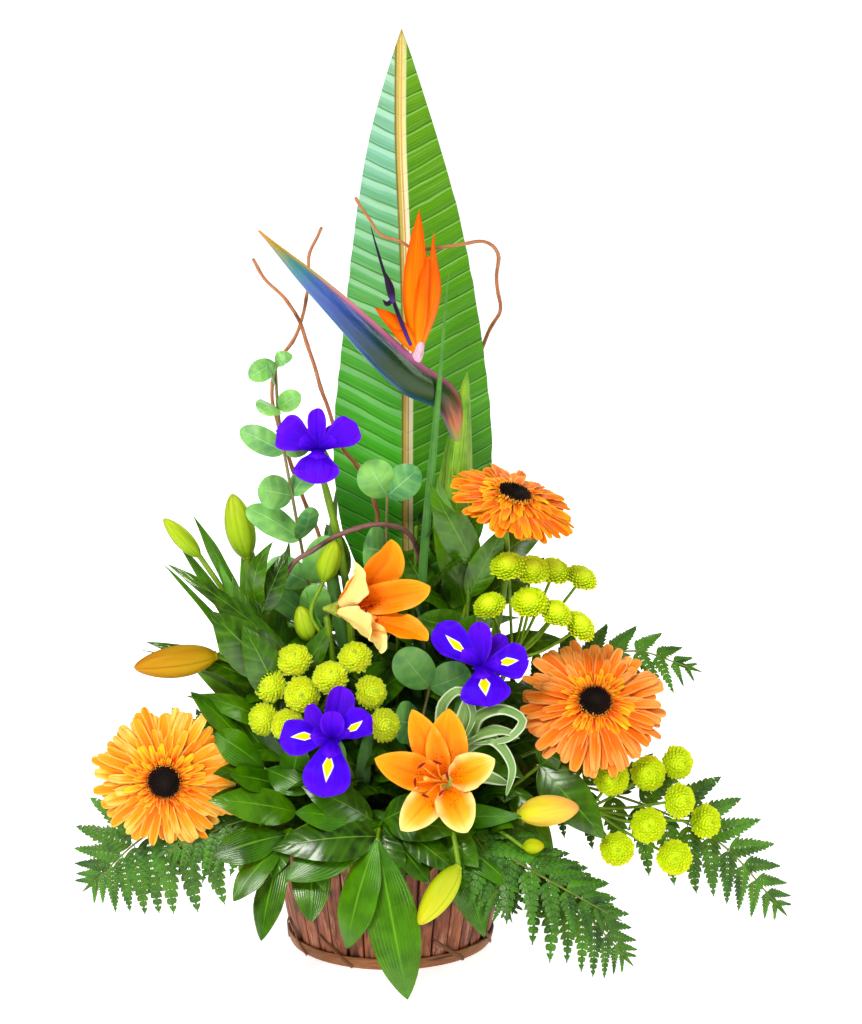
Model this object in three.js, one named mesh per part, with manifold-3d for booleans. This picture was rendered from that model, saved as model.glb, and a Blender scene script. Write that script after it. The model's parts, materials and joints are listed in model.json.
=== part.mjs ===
// A flower basket arrangement: a bark-strip basket with a liner and a block of wet foam, and the
// cut flowers, leaves, ferns and twigs that stand in holes in the foam. Millimetres, +Z up, the
// origin at the middle of the basket's underside, and the front of the arrangement towards -Y.

import * as THREE from 'three';
import { mergeVertices } from 'three/addons/utils/BufferGeometryUtils.js';
import Module from 'manifold-3d';

const wasm = await Module();
wasm.setup();
const { Manifold } = wasm;

// ---- Driving dimensions ----

const GAP = 0.35; // between pieces that touch
const BASKET = { baseRadius: 74.5, rimRadius: 95, height: 100, wall: 4.5, strips: 42, relief: 1 };
const FLOOR = { thickness: 5 };
const HOOP = { height: 9, thickness: 2.2, segments: 24, ties: 4 };
const LINER = { wall: 1.6, top: 97 };
const FOAM = { top: 92, edge: 5, rootDepth: 46, clearance: 1.2 };
const ROUND = 24; // sides of the liner, foam and floor
const STOUT = 2.6; // a stem this thick or thicker has five sides, a thinner one four
const BLADE = 1.3; // thickness of a leaf at its rib
const BROAD = 30; // a leaf this wide or wider has a rib on both faces
const SLIVER = 0.12; // a fused solid's slivers thinner than this are smoothed away

// ---- Directions that leaf faces and blooms turn to ----

const FRONT = [0, -1, 0.25];
const UP = [0, -0.35, 1];
const FRONT_UP = [0, -1, 0.9];
const FRONT_LEFT = [-0.6, -0.9, 0.3];
const FRONT_RIGHT = [0.6, -0.9, 0.3];
const BACK = [0, 1, 0.4];

// ---- Outlines: [share of the length, share of the half width] ----

const LANCE = [[0, 0.1], [0.2, 0.62], [0.45, 1], [0.75, 0.6], [1, 0]];
const OVAL = [[0, 0.12], [0.2, 0.75], [0.5, 1], [0.8, 0.72], [1, 0]];
const STRAP = [[0, 0.55], [0.35, 1], [0.75, 0.85], [1, 0]];
const RAY = [[0, 0.25], [0.55, 0.9], [0.88, 0.8], [1, 0]];
const LILY = [[0, 0.16], [0.3, 0.8], [0.6, 1], [0.86, 0.6], [1, 0]];
const FALL = [[0, 0.2], [0.4, 0.5], [0.72, 1], [0.93, 0.7], [1, 0]];
const LONG_PINNA = [[0, 0.12], [0.22, 1], [0.34, 0.5], [0.54, 0.85], [0.66, 0.4], [0.82, 0.5], [1, 0]];
const TINY_PINNA = [[0, 0.2], [0.4, 1], [0.6, 0.45], [1, 0]];
const SHORT_PINNA = [[0, 0.15], [0.32, 1], [0.48, 0.5], [0.7, 0.75], [1, 0]];
const GREAT_LEAF = [
  [0, 0.3], [0.08, 0.72], [0.16, 0.93], [0.24, 0.9], [0.34, 1], [0.44, 0.95], [0.54, 0.92],
  [0.64, 0.8], [0.73, 0.72], [0.82, 0.52], [0.91, 0.32], [1, 0],
];
const BUD = [[0, 0.3], [0.25, 0.9], [0.65, 0.92], [1, 0]];
const ANTHER = [[0, 0], [0.5, 1], [1, 0]];

// ---- Solids ----

const group = new THREE.Group();
const vector = (p) => (p.isVector3 ? p.clone() : new THREE.Vector3(p[0], p[1], p[2]));
const curve = (path) => new THREE.CatmullRomCurve3(path.map(vector), false, 'centripetal');

// A closed solid of a closed geometry, turned the right way out.
function solid(geometry) {
  for (const name of ['normal', 'uv']) geometry.deleteAttribute(name);
  const merged = mergeVertices(geometry, 1e-4);
  const corners = merged.index.array;
  const kept = [];
  for (let i = 0; i < corners.length; i += 3) {
    const [a, b, c] = [corners[i], corners[i + 1], corners[i + 2]];
    if (a !== b && b !== c && c !== a) kept.push(a, b, c);
  }
  const vertProperties = Float32Array.from(merged.attributes.position.array);
  let triVerts = Uint32Array.from(kept);
  const volume = signedVolume(vertProperties, triVerts);
  if (volume < 0) triVerts = triVerts.reverse();
  return new Manifold(new wasm.Mesh({ numProp: 3, vertProperties, triVerts }));
}

function signedVolume(points, corners) {
  const at = (i) => new THREE.Vector3().fromArray(points, 3 * i);
  let total = 0;
  for (let i = 0; i < corners.length; i += 3) {
    total += at(corners[i]).dot(at(corners[i + 1]).cross(at(corners[i + 2])));
  }
  return total / 6;
}

const fuse = (solids) => Manifold.union(solids);

// The largest closed body of a solid: a sealed hollow is filled and a loose scrap dropped.
function oneBody(shape) {
  const bodies = shape.asOriginal().simplify(SLIVER).decompose();
  return bodies.reduce((best, body) => (body.volume() > best.volume() ? body : best));
}

// A named mesh in the group.
function add(name, shape, color, roughness = 0.55, metalness = 0) {
  const { vertProperties, triVerts } = oneBody(shape).getMesh();
  const geometry = new THREE.BufferGeometry();
  geometry.setAttribute('position', new THREE.BufferAttribute(vertProperties, 3));
  geometry.setIndex(new THREE.BufferAttribute(triVerts, 1));
  geometry.computeVertexNormals();
  const material = new THREE.MeshStandardMaterial({ color, roughness, metalness });
  const mesh = new THREE.Mesh(geometry, material);
  mesh.name = name;
  group.add(mesh);
}

// A closed body through a row of rings of points; a ring of one point is a tip. Between two rings
// the quads are split from the odd corners, so that both faces of a blade are split alike.
function loft(rings) {
  const points = [];
  const starts = rings.map((ring) => points.push(...ring) - ring.length);
  const corners = [];
  for (let r = 0; r + 1 < rings.length; r += 1) {
    const [a, b] = [starts[r], starts[r + 1]];
    const n = Math.max(rings[r].length, rings[r + 1].length);
    for (let i = 0; i < n; i += 1) {
      const j = (i + 1) % n;
      if (rings[r].length === 1) corners.push(a, b + j, b + i);
      else if (rings[r + 1].length === 1) corners.push(a + i, a + j, b);
      else if (i % 2 === 0) corners.push(a + i, a + j, b + j, a + i, b + j, b + i);
      else corners.push(a + i, a + j, b + i, a + j, b + j, b + i);
    }
  }
  const cap = (ring, start, flip) => {
    for (let i = 1; i + 1 < ring.length; i += 1) {
      if (flip) corners.push(start, start + i + 1, start + i);
      else corners.push(start, start + i, start + i + 1);
    }
  };
  cap(rings[0], starts[0], true);
  cap(rings[rings.length - 1], starts[starts.length - 1], false);
  const geometry = new THREE.BufferGeometry();
  const places = points.flatMap((p) => p.toArray());
  geometry.setAttribute('position', new THREE.Float32BufferAttribute(places, 3));
  geometry.setIndex(corners);
  return solid(geometry);
}

// A leaf or petal along a path, its face turned to a direction: a thin diamond in section, folded
// down along its edges by keel, or a flat-topped triangle when it is small.
function blade({ path, width, face, outline, keel = 0.12, thick = BLADE, small = width < BROAD }) {
  const line = curve(path);
  const rings = outline.map(([t, share]) => {
    const middle = line.getPointAt(t);
    if (share === 0) return [middle];
    const along = line.getTangentAt(t);
    const out = vector(face).addScaledVector(along, -vector(face).dot(along)).normalize();
    const half = (share * width) / 2;
    const side = along.clone().cross(out).multiplyScalar(half);
    const drop = out.clone().multiplyScalar(-keel * half);
    const rib = out.clone().multiplyScalar(thick / 2);
    const left = middle.clone().sub(side).add(drop);
    const right = middle.clone().add(side).add(drop);
    if (small) return [left, right, middle.clone().sub(rib).add(drop)];
    return [left, middle.clone().add(rib), right, middle.clone().sub(rib)];
  });
  return loft(rings);
}

// A round stem along a path.
function rod(path, radius, steps, sides) {
  const section = new THREE.Shape();
  for (let i = 0; i < sides; i += 1) {
    const turn = (2 * Math.PI * i) / sides;
    const [x, y] = [radius * Math.cos(turn), radius * Math.sin(turn)];
    if (i === 0) section.moveTo(x, y);
    else section.lineTo(x, y);
  }
  const extrudePath = curve(path);
  return solid(new THREE.ExtrudeGeometry(section, { steps, extrudePath, bevelEnabled: false }));
}

// The cuts for the stems that stand in the foam: plain square holes, wider than the stems.
const holes = [];

function stem(path, radius, steps = path.length, sides = radius < STOUT ? 4 : 5) {
  if (path[0][2] === FOAM.rootDepth) {
    const [x, y, z] = path[0];
    const hole = [[x, y, z - 1], [x, y, FOAM.top + 4]];
    holes.push(rod(hole, (radius + FOAM.clearance) * Math.SQRT2, 1, 4));
  }
  return rod(path, radius, steps, sides);
}

// A twig that thins to its tip.
function twig(path, radius, tip, steps, sides = 4) {
  const line = curve(path);
  stem(path.slice(0, 2), radius, 1);
  const { normals, binormals } = line.computeFrenetFrames(steps, false);
  const rings = [];
  for (let k = 0; k <= steps; k += 1) {
    const thick = radius + ((tip - radius) * k) / steps;
    rings.push(around(line.getPointAt(k / steps), normals[k], binormals[k], sides, () => thick));
  }
  return loft(rings);
}

// A ring of points round a centre, at a distance given for each.
function around(centre, across, over, count, distance) {
  return Array.from({ length: count }, (_, i) => {
    const turn = (2 * Math.PI * i) / count;
    return centre.clone()
      .addScaledVector(across, distance(i) * Math.cos(turn))
      .addScaledVector(over, distance(i) * Math.sin(turn));
  });
}

// Two directions across an axis.
function across(axis) {
  const along = vector(axis).normalize();
  const guide = Math.abs(along.z) > 0.9 ? new THREE.Vector3(1, 0, 0) : new THREE.Vector3(0, 0, 1);
  const first = guide.clone().cross(along).normalize();
  return { along, first, second: along.clone().cross(first) };
}

// A turned body: profile points [distance from the axis, height], placed on an axis at a centre.
function turned(profile, segments, centre = [0, 0, 0], axis = [0, 0, 1]) {
  const points = profile.map(([r, h]) => new THREE.Vector2(r, h));
  const geometry = new THREE.LatheGeometry(points, segments);
  const turn = new THREE.Quaternion().setFromUnitVectors(
    new THREE.Vector3(0, 1, 0), vector(axis).normalize());
  geometry.applyQuaternion(turn).translate(...vector(centre).toArray());
  return solid(geometry);
}

// Seeded draws in 0..1.
function draws(seed) {
  let state = seed;
  return () => {
    state = (state * 16807) % 2147483647;
    return state / 2147483647;
  };
}

// The path of a stem that stands in the foam at x, y and goes on through the points above.
const rooted = (x, y, ...above) => [
  [x, y, FOAM.rootDepth], [x, y, (FOAM.rootDepth + FOAM.top) / 2 + 4], [x, y, FOAM.top + 6], ...above,
];

// ---- Basket ----

const flare = (z) => 1 + ((BASKET.rimRadius / BASKET.baseRadius - 1) * z) / BASKET.height;

// Upright bark strips side by side: a ring with a groove between two strips, flared to the rim.
function basketWall() {
  const outline = new THREE.Shape();
  const place = (path, radius, turn, first) => {
    const [x, y] = [radius * Math.cos(turn), radius * Math.sin(turn)];
    if (first) path.moveTo(x, y);
    else path.lineTo(x, y);
  };
  const pitch = (2 * Math.PI) / BASKET.strips;
  for (let i = 0; i < BASKET.strips; i += 1) {
    const turn = i * pitch;
    place(outline, BASKET.baseRadius - BASKET.relief, turn, i === 0);
    place(outline, BASKET.baseRadius + BASKET.relief * 0.7, turn + pitch * 0.2, false);
    place(outline, BASKET.baseRadius + BASKET.relief, turn + pitch * 0.75, false);
  }
  const inside = new THREE.Path();
  for (let i = 0; i < ROUND; i += 1) {
    place(inside, BASKET.baseRadius - BASKET.wall, (2 * Math.PI * i) / ROUND, i === 0);
  }
  outline.holes.push(inside);
  const geometry = new THREE.ExtrudeGeometry(outline, { depth: BASKET.height, bevelEnabled: false });
  const places = geometry.attributes.position;
  for (let i = 0; i < places.count; i += 1) {
    const spread = flare(places.getZ(i));
    places.setXY(i, places.getX(i) * spread, places.getY(i) * spread);
  }
  return solid(geometry);
}

// The radius of something on the wall's inside, at a height, set in by a depth.
const within = (z, depth) => (BASKET.baseRadius - BASKET.wall) * flare(z) - depth;

function hoop(bottom, tieCount = 0) {
  const top = bottom + HOOP.height;
  const flat = Math.cos(Math.PI / HOOP.segments); // the band's flats come nearest the strips
  const seat = (z) => ((BASKET.baseRadius + BASKET.relief) * flare(z) + GAP) / flat;
  const band = turned([
    [seat(bottom), bottom], [seat(bottom) + HOOP.thickness, bottom + 1],
    [seat(top) + HOOP.thickness, top - 1], [seat(top), top], [seat(bottom), bottom],
  ], HOOP.segments, [0, 0, 0], [0, 0, 1]);
  const ties = Array.from({ length: tieCount }, (_, i) => {
    const turn = -Math.PI / 2 + 0.42 + (2 * Math.PI * i) / tieCount;
    const reach = seat(bottom + HOOP.height / 2) + HOOP.thickness * 0.75;
    const tie = new THREE.BoxGeometry(2.4, 3.2, HOOP.height - 1.5);
    tie.rotateY(0.35).rotateZ(turn + Math.PI / 2);
    tie.translate(reach * Math.cos(turn), reach * Math.sin(turn), bottom + HOOP.height / 2);
    return solid(tie);
  });
  return fuse([band, ...ties]);
}

add('basket_floor', turned([
  [0, 0], [within(0, GAP), 0], [within(0, GAP), FLOOR.thickness], [0, FLOOR.thickness],
], ROUND), 0x8a5a3a, 0.8);
add('basket_wall', basketWall(), 0x7b4a35, 0.85);
add('basket_bottom_hoop', hoop(0.2, HOOP.ties), 0xa86a44, 0.7);
add('basket_top_hoop', hoop(BASKET.height - HOOP.height - 0.6), 0xa86a44, 0.7);

const linerFloor = FLOOR.thickness + GAP;
const foamFloor = linerFloor + LINER.wall + GAP;
add('liner', turned([
  [0, linerFloor], [within(linerFloor, 2 * GAP), linerFloor], [within(LINER.top, 2 * GAP), LINER.top],
  [within(LINER.top, 2 * GAP + LINER.wall), LINER.top],
  [within(foamFloor, 2 * GAP + LINER.wall), linerFloor + LINER.wall], [0, linerFloor + LINER.wall],
], ROUND), 0x3d5a3a, 0.5);

// ---- Great leaf: one pleated blade on a stalk ----

const greatLeafPath = [[15, 44, 236], [14, 46, 400], [11, 52, 545], [9, 60, 690]];
add('great_leaf', fuse([
  blade({ path: greatLeafPath, width: 128, face: FRONT, outline: GREAT_LEAF, keel: 0.16, thick: 2 }),
  stem(rooted(12, 38, [14, 43, 180], [15, 44, 262]), 4.2, 5),
]), 0x3f9b2f, 0.45);

// ---- Bird of paradise: sheathed stem with its boat-shaped spathe, sepals and arrow petal ----

// Rings [centre, half height, half width] from the stem to the tip.
const SPATHE = [
  [[52, 2, 392], 4, 4], [[42, 0, 420], 11, 8], [[17, -8, 437], 14, 9.5], [[-9, -13, 462], 13, 9],
  [[-32, -18, 486], 10.5, 7], [[-60, -23, 514], 7, 4.5], [[-94, -30, 548], 0, 0],
];
function spathe() {
  const centres = SPATHE.map(([centre]) => vector(centre));
  return loft(SPATHE.map(([, high, wide], k) => {
    if (high === 0) return [centres[k]];
    const along = centres[Math.min(k + 1, centres.length - 1)].clone()
      .sub(centres[Math.max(k - 1, 0)]).normalize();
    const side = along.clone().cross(new THREE.Vector3(0, 0, 1)).normalize();
    const lift = side.clone().cross(along);
    const ring = (share, across_) => centres[k].clone()
      .addScaledVector(lift, share * high).addScaledVector(side, across_ * wide);
    return [ring(1, 0), ring(0.35, 1), ring(-0.5, 0.75), ring(-1, 0), ring(-0.5, -0.75), ring(0.35, -1)];
  }));
}
add('bird_of_paradise_spathe', fuse([
  spathe(),
  stem(rooted(32, 6, [49, 6, 265], [54, 6, 327], [53, 4, 370], [50, 2, 405]), 6, 7, 6),
  blade({
    path: [[50, 3, 330], [56, 6, 385], [57, 7, 437]], width: 20, face: [0.4, -1, 0.2],
    outline: STRAP, keel: 0.4, thick: 2,
  }),
]), 0x4a6a55, 0.45);
add('bird_of_paradise_sepals', fuse([
  blade({ path: [[21, -8, 456], [23, -9, 500], [24, -8, 562]], width: 27, face: FRONT, outline: LANCE,
    keel: 0.35, thick: 2.4 }),
  blade({ path: [[22, -8, 457], [33, -4, 500], [34, -1, 545]], width: 18, face: FRONT_RIGHT,
    outline: LANCE, keel: 0.3, thick: 2 }),
  blade({ path: [[22, -8, 458], [3, -14, 477], [-24, -20, 502]], width: 14, face: [0.3, -1, 0.5],
    outline: LANCE, keel: 0.3, thick: 2 }),
]), 0xf47a12, 0.5);
add('bird_of_paradise_arrow', fuse([
  blade({ path: [[16, -15, 466], [5, -19, 490], [-2, -23, 517], [-13, -28, 552]], width: 6,
    face: [0.7, -0.6, 0.4], outline: STRAP, keel: 0.2, thick: 2.6 }),
  blade({ path: [[-4, -22, 505], [4, -23, 510], [10, -24, 520]], width: 7, face: FRONT, outline: LANCE,
    keel: 0.2, thick: 2 }),
]), 0x2a1140, 0.45);

// ---- Curly twigs ----

add('twig_left', twig(rooted(-8, 22, [-8, 24, 200], [-9, 24, 323], [-21, 22, 356], [-38, 18, 386],
  [-49, 15, 417], [-58, 12, 447], [-67, 10, 474], [-77, 8, 493], [-94, 6, 510], [-101, 5, 523]),
2.4, 1.2, 16), 0xa35a36, 0.7);
add('twig_short', twig(rooted(-24, 24, [-30, 26, 200], [-52, 27, 300], [-80, 28, 380], [-89, 30, 426],
  [-84, 30, 443], [-68, 28, 470], [-62, 28, 498], [-59, 26, 525], [-51, 25, 545]),
2.2, 1.1, 14), 0xa0583a, 0.7);
add('twig_hooked', twig(rooted(30, 60, [38, 78, 250], [56, 84, 380], [70, 80, 448], [80, 73, 468],
  [84, 60, 484], [80, 47, 505], [82, 38, 524], [71, 29, 534], [55, 21, 533], [38, 15, 531],
  [18, 14, 530], [7, 14, 536], [-6, 15, 540], [-17, 18, 554], [-24, 20, 566]),
2.4, 1.1, 24), 0x9c5230, 0.7);
add('twig_arched', twig(rooted(20, 16, [25, 13, 230], [21, 6, 304], [9, -4, 323], [-14, -14, 326],
  [-37, -18, 320], [-54, -20, 311], [-70, -20, 300], [-80, -20, 286]),
2.4, 1.8, 13), 0x84404e, 0.7);

// ---- Gerberas ----

const GERBERAS = {
  left: { centre: [-165, -70, 147], axis: [-0.05, -0.99, 0.02], radius: 57, color: 0xfb9a1e,
    stem: rooted(-57, -24, [-72, -34, 138], [-118, -38, 152], [-158, -44, 150]) },
  right: { centre: [152, -45, 195], axis: [0.09, -0.7, 0.68], radius: 57, color: 0xf97f22,
    stem: rooted(61, -17, [84, -18, 140], [122, -12, 158], [148, -18, 172]) },
  upper: { centre: [90, -38, 348], axis: [0.26, -0.3, 0.9], radius: 50, color: 0xf2661c,
    stem: rooted(44, -6, [68, -6, 190], [84, -13, 270], [87, -17, 300], [86, -28, 330]) },
};
const RAYS = [ // from the back forwards
  { count: 13, reach: 1, width: 13, rise: -0.1, seat: 0 },
  { count: 10, reach: 0.78, width: 12, rise: 0.12, seat: 3.4 },
];
const CORE = { radius: 15, height: 6 };

// A bloom of two rows of rays round a core; a third, short row is the core's toothed edge.
function gerberaRays({ centre, axis, radius }, seed) {
  const { along, first, second } = across(axis);
  const draw = draws(seed);
  const middle = vector(centre);
  const at = (out, distance, height) => middle.clone()
    .addScaledVector(out, distance).addScaledVector(along, height);
  const parts = [turned([[0, -4], [9, -4], [CORE.radius, 1], [11, CORE.height], [0, CORE.height]],
    10, centre, axis)];
  RAYS.forEach(({ count, reach, width, rise, seat }, row) => {
    for (let i = 0; i < count; i += 1) {
      const turn = (2 * Math.PI * (i + row * 0.5)) / count + (draw() - 0.5) * 0.08;
      const out = first.clone().multiplyScalar(Math.cos(turn)).addScaledVector(second, Math.sin(turn));
      const far = radius * reach * (0.94 + 0.06 * draw());
      const bend = far * (rise + (draw() - 0.5) * 0.06);
      parts.push(blade({
        path: [at(out, 11, seat), at(out, far * 0.6, seat + 2 + bend * 0.5), at(out, far, seat + bend)],
        width, face: along, outline: RAY, keel: 0.25, small: true,
      }));
    }
  });
  return fuse(parts);
}

function gerberaDisc({ centre, axis }) {
  const seat = vector(centre).addScaledVector(vector(axis).normalize(), CORE.height + GAP);
  return turned([[0, 0], [10.5, 0], [11, 1.6], [8, 3.6], [3.5, 3.2], [0, 2.6]], 10, seat, axis);
}

function gerberaStem({ centre, axis, stem: path }) {
  const along = vector(axis).normalize();
  const back = vector(centre).addScaledVector(along, -4 - GAP);
  const neck = back.clone().addScaledVector(along, -9);
  const cup = turned([[0, -12], [3.5, -12], [8.5, -4], [9, 0], [0, 0]], 10, back, axis);
  return fuse([cup, stem([...path, neck], 3, 8)]);
}

Object.entries(GERBERAS).forEach(([side, flower], i) => {
  add(`gerbera_${side}_rays`, gerberaRays(flower, 11 + i), flower.color, 0.5);
  add(`gerbera_${side}_disc`, gerberaDisc(flower), 0x2a1218, 0.8);
  add(`gerbera_${side}_stem`, gerberaStem(flower), 0x5c8a35, 0.55);
});

// ---- Lilies ----

// Tepals [tip, width], from a throat that opens along an axis.
const LILIES = {
  upper: { throat: [-38, -50, 271], axis: [0.85, -0.5, 0.1], depth: 22, spread: 0.12, tepals: [
    [[5, -52, 324], 30], [[-27, -44, 313], 20], [[33, -72, 293], 22],
    [[32, -92, 257], 22], [[-4, -86, 248], 20], [[-14, -106, 266], 24]] },
  lower: { throat: [42, -92, 151], axis: [-0.05, -0.97, 0.22], depth: 12, spread: 0.36, tepals: [
    [[17, -100, 208], 24], [[44, -98, 208], 30], [[-10, -114, 175], 26],
    [[77, -112, 174], 26], [[9, -124, 124], 26], [[57, -126, 123], 28]] },
};

function lilyBloom({ throat, axis, depth, tepals }) {
  const along = vector(axis).normalize();
  const low = vector(throat);
  const tube = turned([[0, -9], [2.5, -9], [6, 0], [5, 2], [0, 2]], 6, throat, axis);
  return fuse([tube, ...tepals.map(([tip, width], i) => {
    const far = vector(tip);
    const out = far.clone().sub(low);
    out.addScaledVector(along, -out.dot(along)).normalize();
    const base = low.clone().addScaledVector(out, 4).addScaledVector(along, i % 2 ? -1.5 : 0.5);
    const half = low.clone().lerp(far, 0.5).addScaledVector(along, depth * 0.4);
    return blade({ path: [base, half, far], width, face: along, outline: LILY, keel: -0.22, small: true });
  })]);
}

// Six filaments with their anthers, and the style, from one seat in the throat.
const STAMEN = { radius: 0.8, reach: 24, style: 6 }; // the style stands out past the six stamens
function lilyStamens({ throat, axis, spread: fan }) {
  const { along, first, second } = across(axis);
  const seat = vector(throat).addScaledVector(along, 2 + GAP);
  const parts = [turned([[0, 0], [2, 0], [2, 3], [0, 3]], 6, seat, axis)];
  for (let i = 0; i < 7; i += 1) {
    const turn = (2 * Math.PI * i) / 6;
    const spread = i === 6 ? 0 : fan;
    const out = first.clone().multiplyScalar(Math.cos(turn) * spread)
      .addScaledVector(second, Math.sin(turn) * spread).add(along).normalize();
    const end = seat.clone().addScaledVector(out, STAMEN.reach + (i === 6 ? STAMEN.style : 0));
    parts.push(rod([seat.clone().addScaledVector(along, 1), end], STAMEN.radius, 1, 3));
    const lie = i === 6 ? second : out.clone().cross(along).normalize();
    parts.push(bud(end.clone().addScaledVector(lie, -4), end.clone().addScaledVector(lie, 4),
      i === 6 ? 4 : 3.4, 4, ANTHER));
  }
  return fuse(parts);
}

// A spindle-shaped bud or anther from its base to its tip.
function bud(base, tip, width, sides = 6, outline = BUD) {
  const [low, high] = [vector(base), vector(tip)];
  const { first, second } = across(high.clone().sub(low));
  return loft(outline.map(([t, share]) => {
    const middle = low.clone().lerp(high, t);
    const half = (share * width) / 2;
    return share === 0 ? [middle]
      : around(middle, first, second, sides, (i) => half * (i % 2 && sides > 4 ? 0.9 : 1));
  }));
}

Object.entries(LILIES).forEach(([side, flower]) => {
  add(`lily_${side}_tepals`, lilyBloom(flower), 0xf9a02c, 0.45);
  add(`lily_${side}_stamens`, lilyStamens(flower), 0xd9701f, 0.6);
});

// A stem with leaves: [ring of the stem, tip, width, face, arch].
function leafyStem({ path, radius, steps, leaves = [], outline = LANCE, extras = [], keel, sides }) {
  const line = curve(path);
  const parts = [stem(path, radius, steps, sides), ...extras];
  for (const [ring, tip, width, face, arch = 5] of leaves) {
    const base = Array.isArray(ring) ? vector(ring) : line.getPointAt(ring / steps);
    const middle = base.clone().lerp(vector(tip), 0.5).addScaledVector(vector(face).normalize(), arch);
    parts.push(blade({ path: [base, middle, vector(tip)], width, face, outline, keel }));
  }
  return fuse(parts);
}

add('lily_stalk_left', leafyStem({
  path: rooted(-44, -8, [-66, -10, 160], [-92, -10, 215], [-106, -8, 250]),
  radius: 2.5, steps: 10,
  leaves: [
    [6, [-170, -12, 297], 13, UP, 8], [10, [-148, 2, 331], 13, UP, 5],
    [9, [-110, 14, 318], 20, FRONT, 4], [8, [-76, 6, 311], 18, FRONT, -3],
    [5, [-186, -34, 236], 8, UP, 18], [4, [-126, -24, 268], 20, FRONT_LEFT, 4],
    [7, [-80, -16, 258], 18, FRONT_RIGHT, 3],
  ],
  extras: [
    stem([[-104, -8, 244], [-122, -12, 272], [-144, -15, 306]], 2, 3),
    bud([-142, -15, 303], [-168, -20, 333], 14),
    stem([[-105, -8, 246], [-107, 0, 272], [-108, 5, 300]], 2.4, 3),
    bud([-108, 5, 297], [-119, 10, 346], 23),
    stem([[-84, -12, 196], [-108, -34, 222], [-126, -45, 234]], 2, 3),
  ],
}), 0x4f9a35, 0.5);
add('lily_bud_orange', bud([-128, -45.5, 234.4], [-188, -60, 229], 24), 0xf09a2a, 0.45);
add('lily_stalk_upper', leafyStem({
  path: rooted(-12, -26, [-24, -30, 160], [-40, -34, 216], [-46, -44, 262]),
  radius: 2.5, steps: 8,
  leaves: [[5, [-62, -36, 282], 14, FRONT_LEFT, 3]],
  extras: [
    stem([[-43, -38, 240], [-60, -38, 262], [-47, -32, 290]], 1.6, 4),
    bud([-49, -32, 288], [-40, -30, 318], 18),
    stem([[-38, -34, 208], [-52, -34, 222], [-58, -32, 242]], 1.8, 3),
    bud([-57.5, -32, 241], [-67, -32, 269], 18),
  ],
}), 0x6aa52f, 0.5);
add('lily_stalk_lower', leafyStem({
  path: rooted(22, -58, [30, -64, 118], [40, -74, 136], [42, -80, 146]),
  radius: 2.5, steps: 6,
  leaves: [[4, [98, -96, 126], 20, FRONT, 4]],
  extras: [
    stem([[33, -68, 126], [64, -78, 118], [97, -90, 126]], 2, 5),
    bud([95, -89, 125.5], [139, -100, 134], 25),
    stem([[70, -80, 117.5], [86, -90, 110], [100, -97, 103]], 1.4, 3),
    bud([98, -97, 103], [114, -98, 104], 12),
    stem([[31, -66, 120], [46, -106, 119], [52, -122, 96]], 1.8, 5),
    bud([51, -121.5, 97], [22, -138, 58], 22),
  ],
}), 0xa8b040, 0.5);

// ---- Irises ----

// Petals [tip, width, face] round a centre: three falls and three upright standards.
const IRISES = {
  left: { centre: [-53, -12, 384], petals: [
    [[-82, -20, 402], 26, [-0.5, -1, 0.5]], [[-24, -18, 404], 20, [0.6, -1, 0.4]],
    [[-54, -34, 362], 30, [0, -1, 0.5]], [[-54, -8, 414], 14, [0, -1, 0.3]],
    [[-38, 6, 400], 14, [0.5, 1, 0.2]], [[-70, 6, 398], 14, [-0.6, 1, 0.2]]],
  stem: rooted(-18, -8, [-26, -6, 200], [-36, -5, 300], [-52, -9, 372]),
  leaf: [[-26, -6, 200], [-44, -2, 290], [-40, 2, 352]] },
  front: { centre: [-41, -92, 184], petals: [
    [[-79, -100, 186], 26, [-0.3, -1, 0.6]], [[-14, -98, 204], 23, [0.5, -1, 0.2]],
    [[-46, -120, 148], 32, [0, -1, 0.35]], [[-40, -104, 208], 16, [0, -1, 0.2]],
    [[-34, -80, 220], 20, [0.2, -1, 0.1]], [[-58, -80, 206], 14, [-0.5, -0.8, 0.2]]],
  stem: rooted(-18, -48, [-24, -58, 130], [-32, -72, 158], [-38, -82, 174]),
  leaf: [[-22, -54, 126], [-18, -49, 160], [-12, -46, 192]] },
  right: { centre: [68, -66, 232], petals: [
    [[35, -66, 262], 24, [-0.4, -1, 0.4]], [[102, -72, 238], 24, [0.4, -1, 0.4]],
    [[72, -92, 208], 34, [0, -1, 0.35]], [[66, -62, 264], 16, [0, -1, 0.2]],
    [[86, -46, 250], 14, [0.4, 1, 0.2]], [[50, -46, 248], 14, [-0.4, 1, 0.2]]],
  stem: rooted(38, -44, [44, -48, 140], [56, -52, 190], [65, -56, 222]),
  leaf: [[43, -47, 140], [53, -40, 190], [55, -36, 236]] },
};

Object.entries(IRISES).forEach(([side, { centre, petals, stem: path, leaf }]) => {
  const middle = vector(centre);
  add(`iris_${side}_petals`, fuse([
    bud(middle.clone().add(vector([0, 2, -8])), middle.clone().add(vector([0, -2, 6])), 10, 5),
    ...petals.map(([tip, width, face]) => {
      const half = middle.clone().lerp(vector(tip), 0.5).addScaledVector(vector(face).normalize(), 3);
      const base = middle.clone().lerp(vector(tip), 0.08);
      return blade({ path: [base, half, vector(tip)], width, face, outline: FALL, keel: 0.2, small: true });
    }),
  ]), 0x5a10e0, 0.5);
  add(`iris_${side}_stem`, fuse([
    stem(path, 3, 7),
    blade({ path: leaf, width: 10, face: FRONT, outline: STRAP, keel: 0.3, thick: 1.6 }),
  ]), 0x55803a, 0.5);
});

// ---- Button chrysanthemums: domed heads of toothed rings on forked stalks ----

const SPRAY_STALK = { radius: 2, branch: 1.2 };

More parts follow.
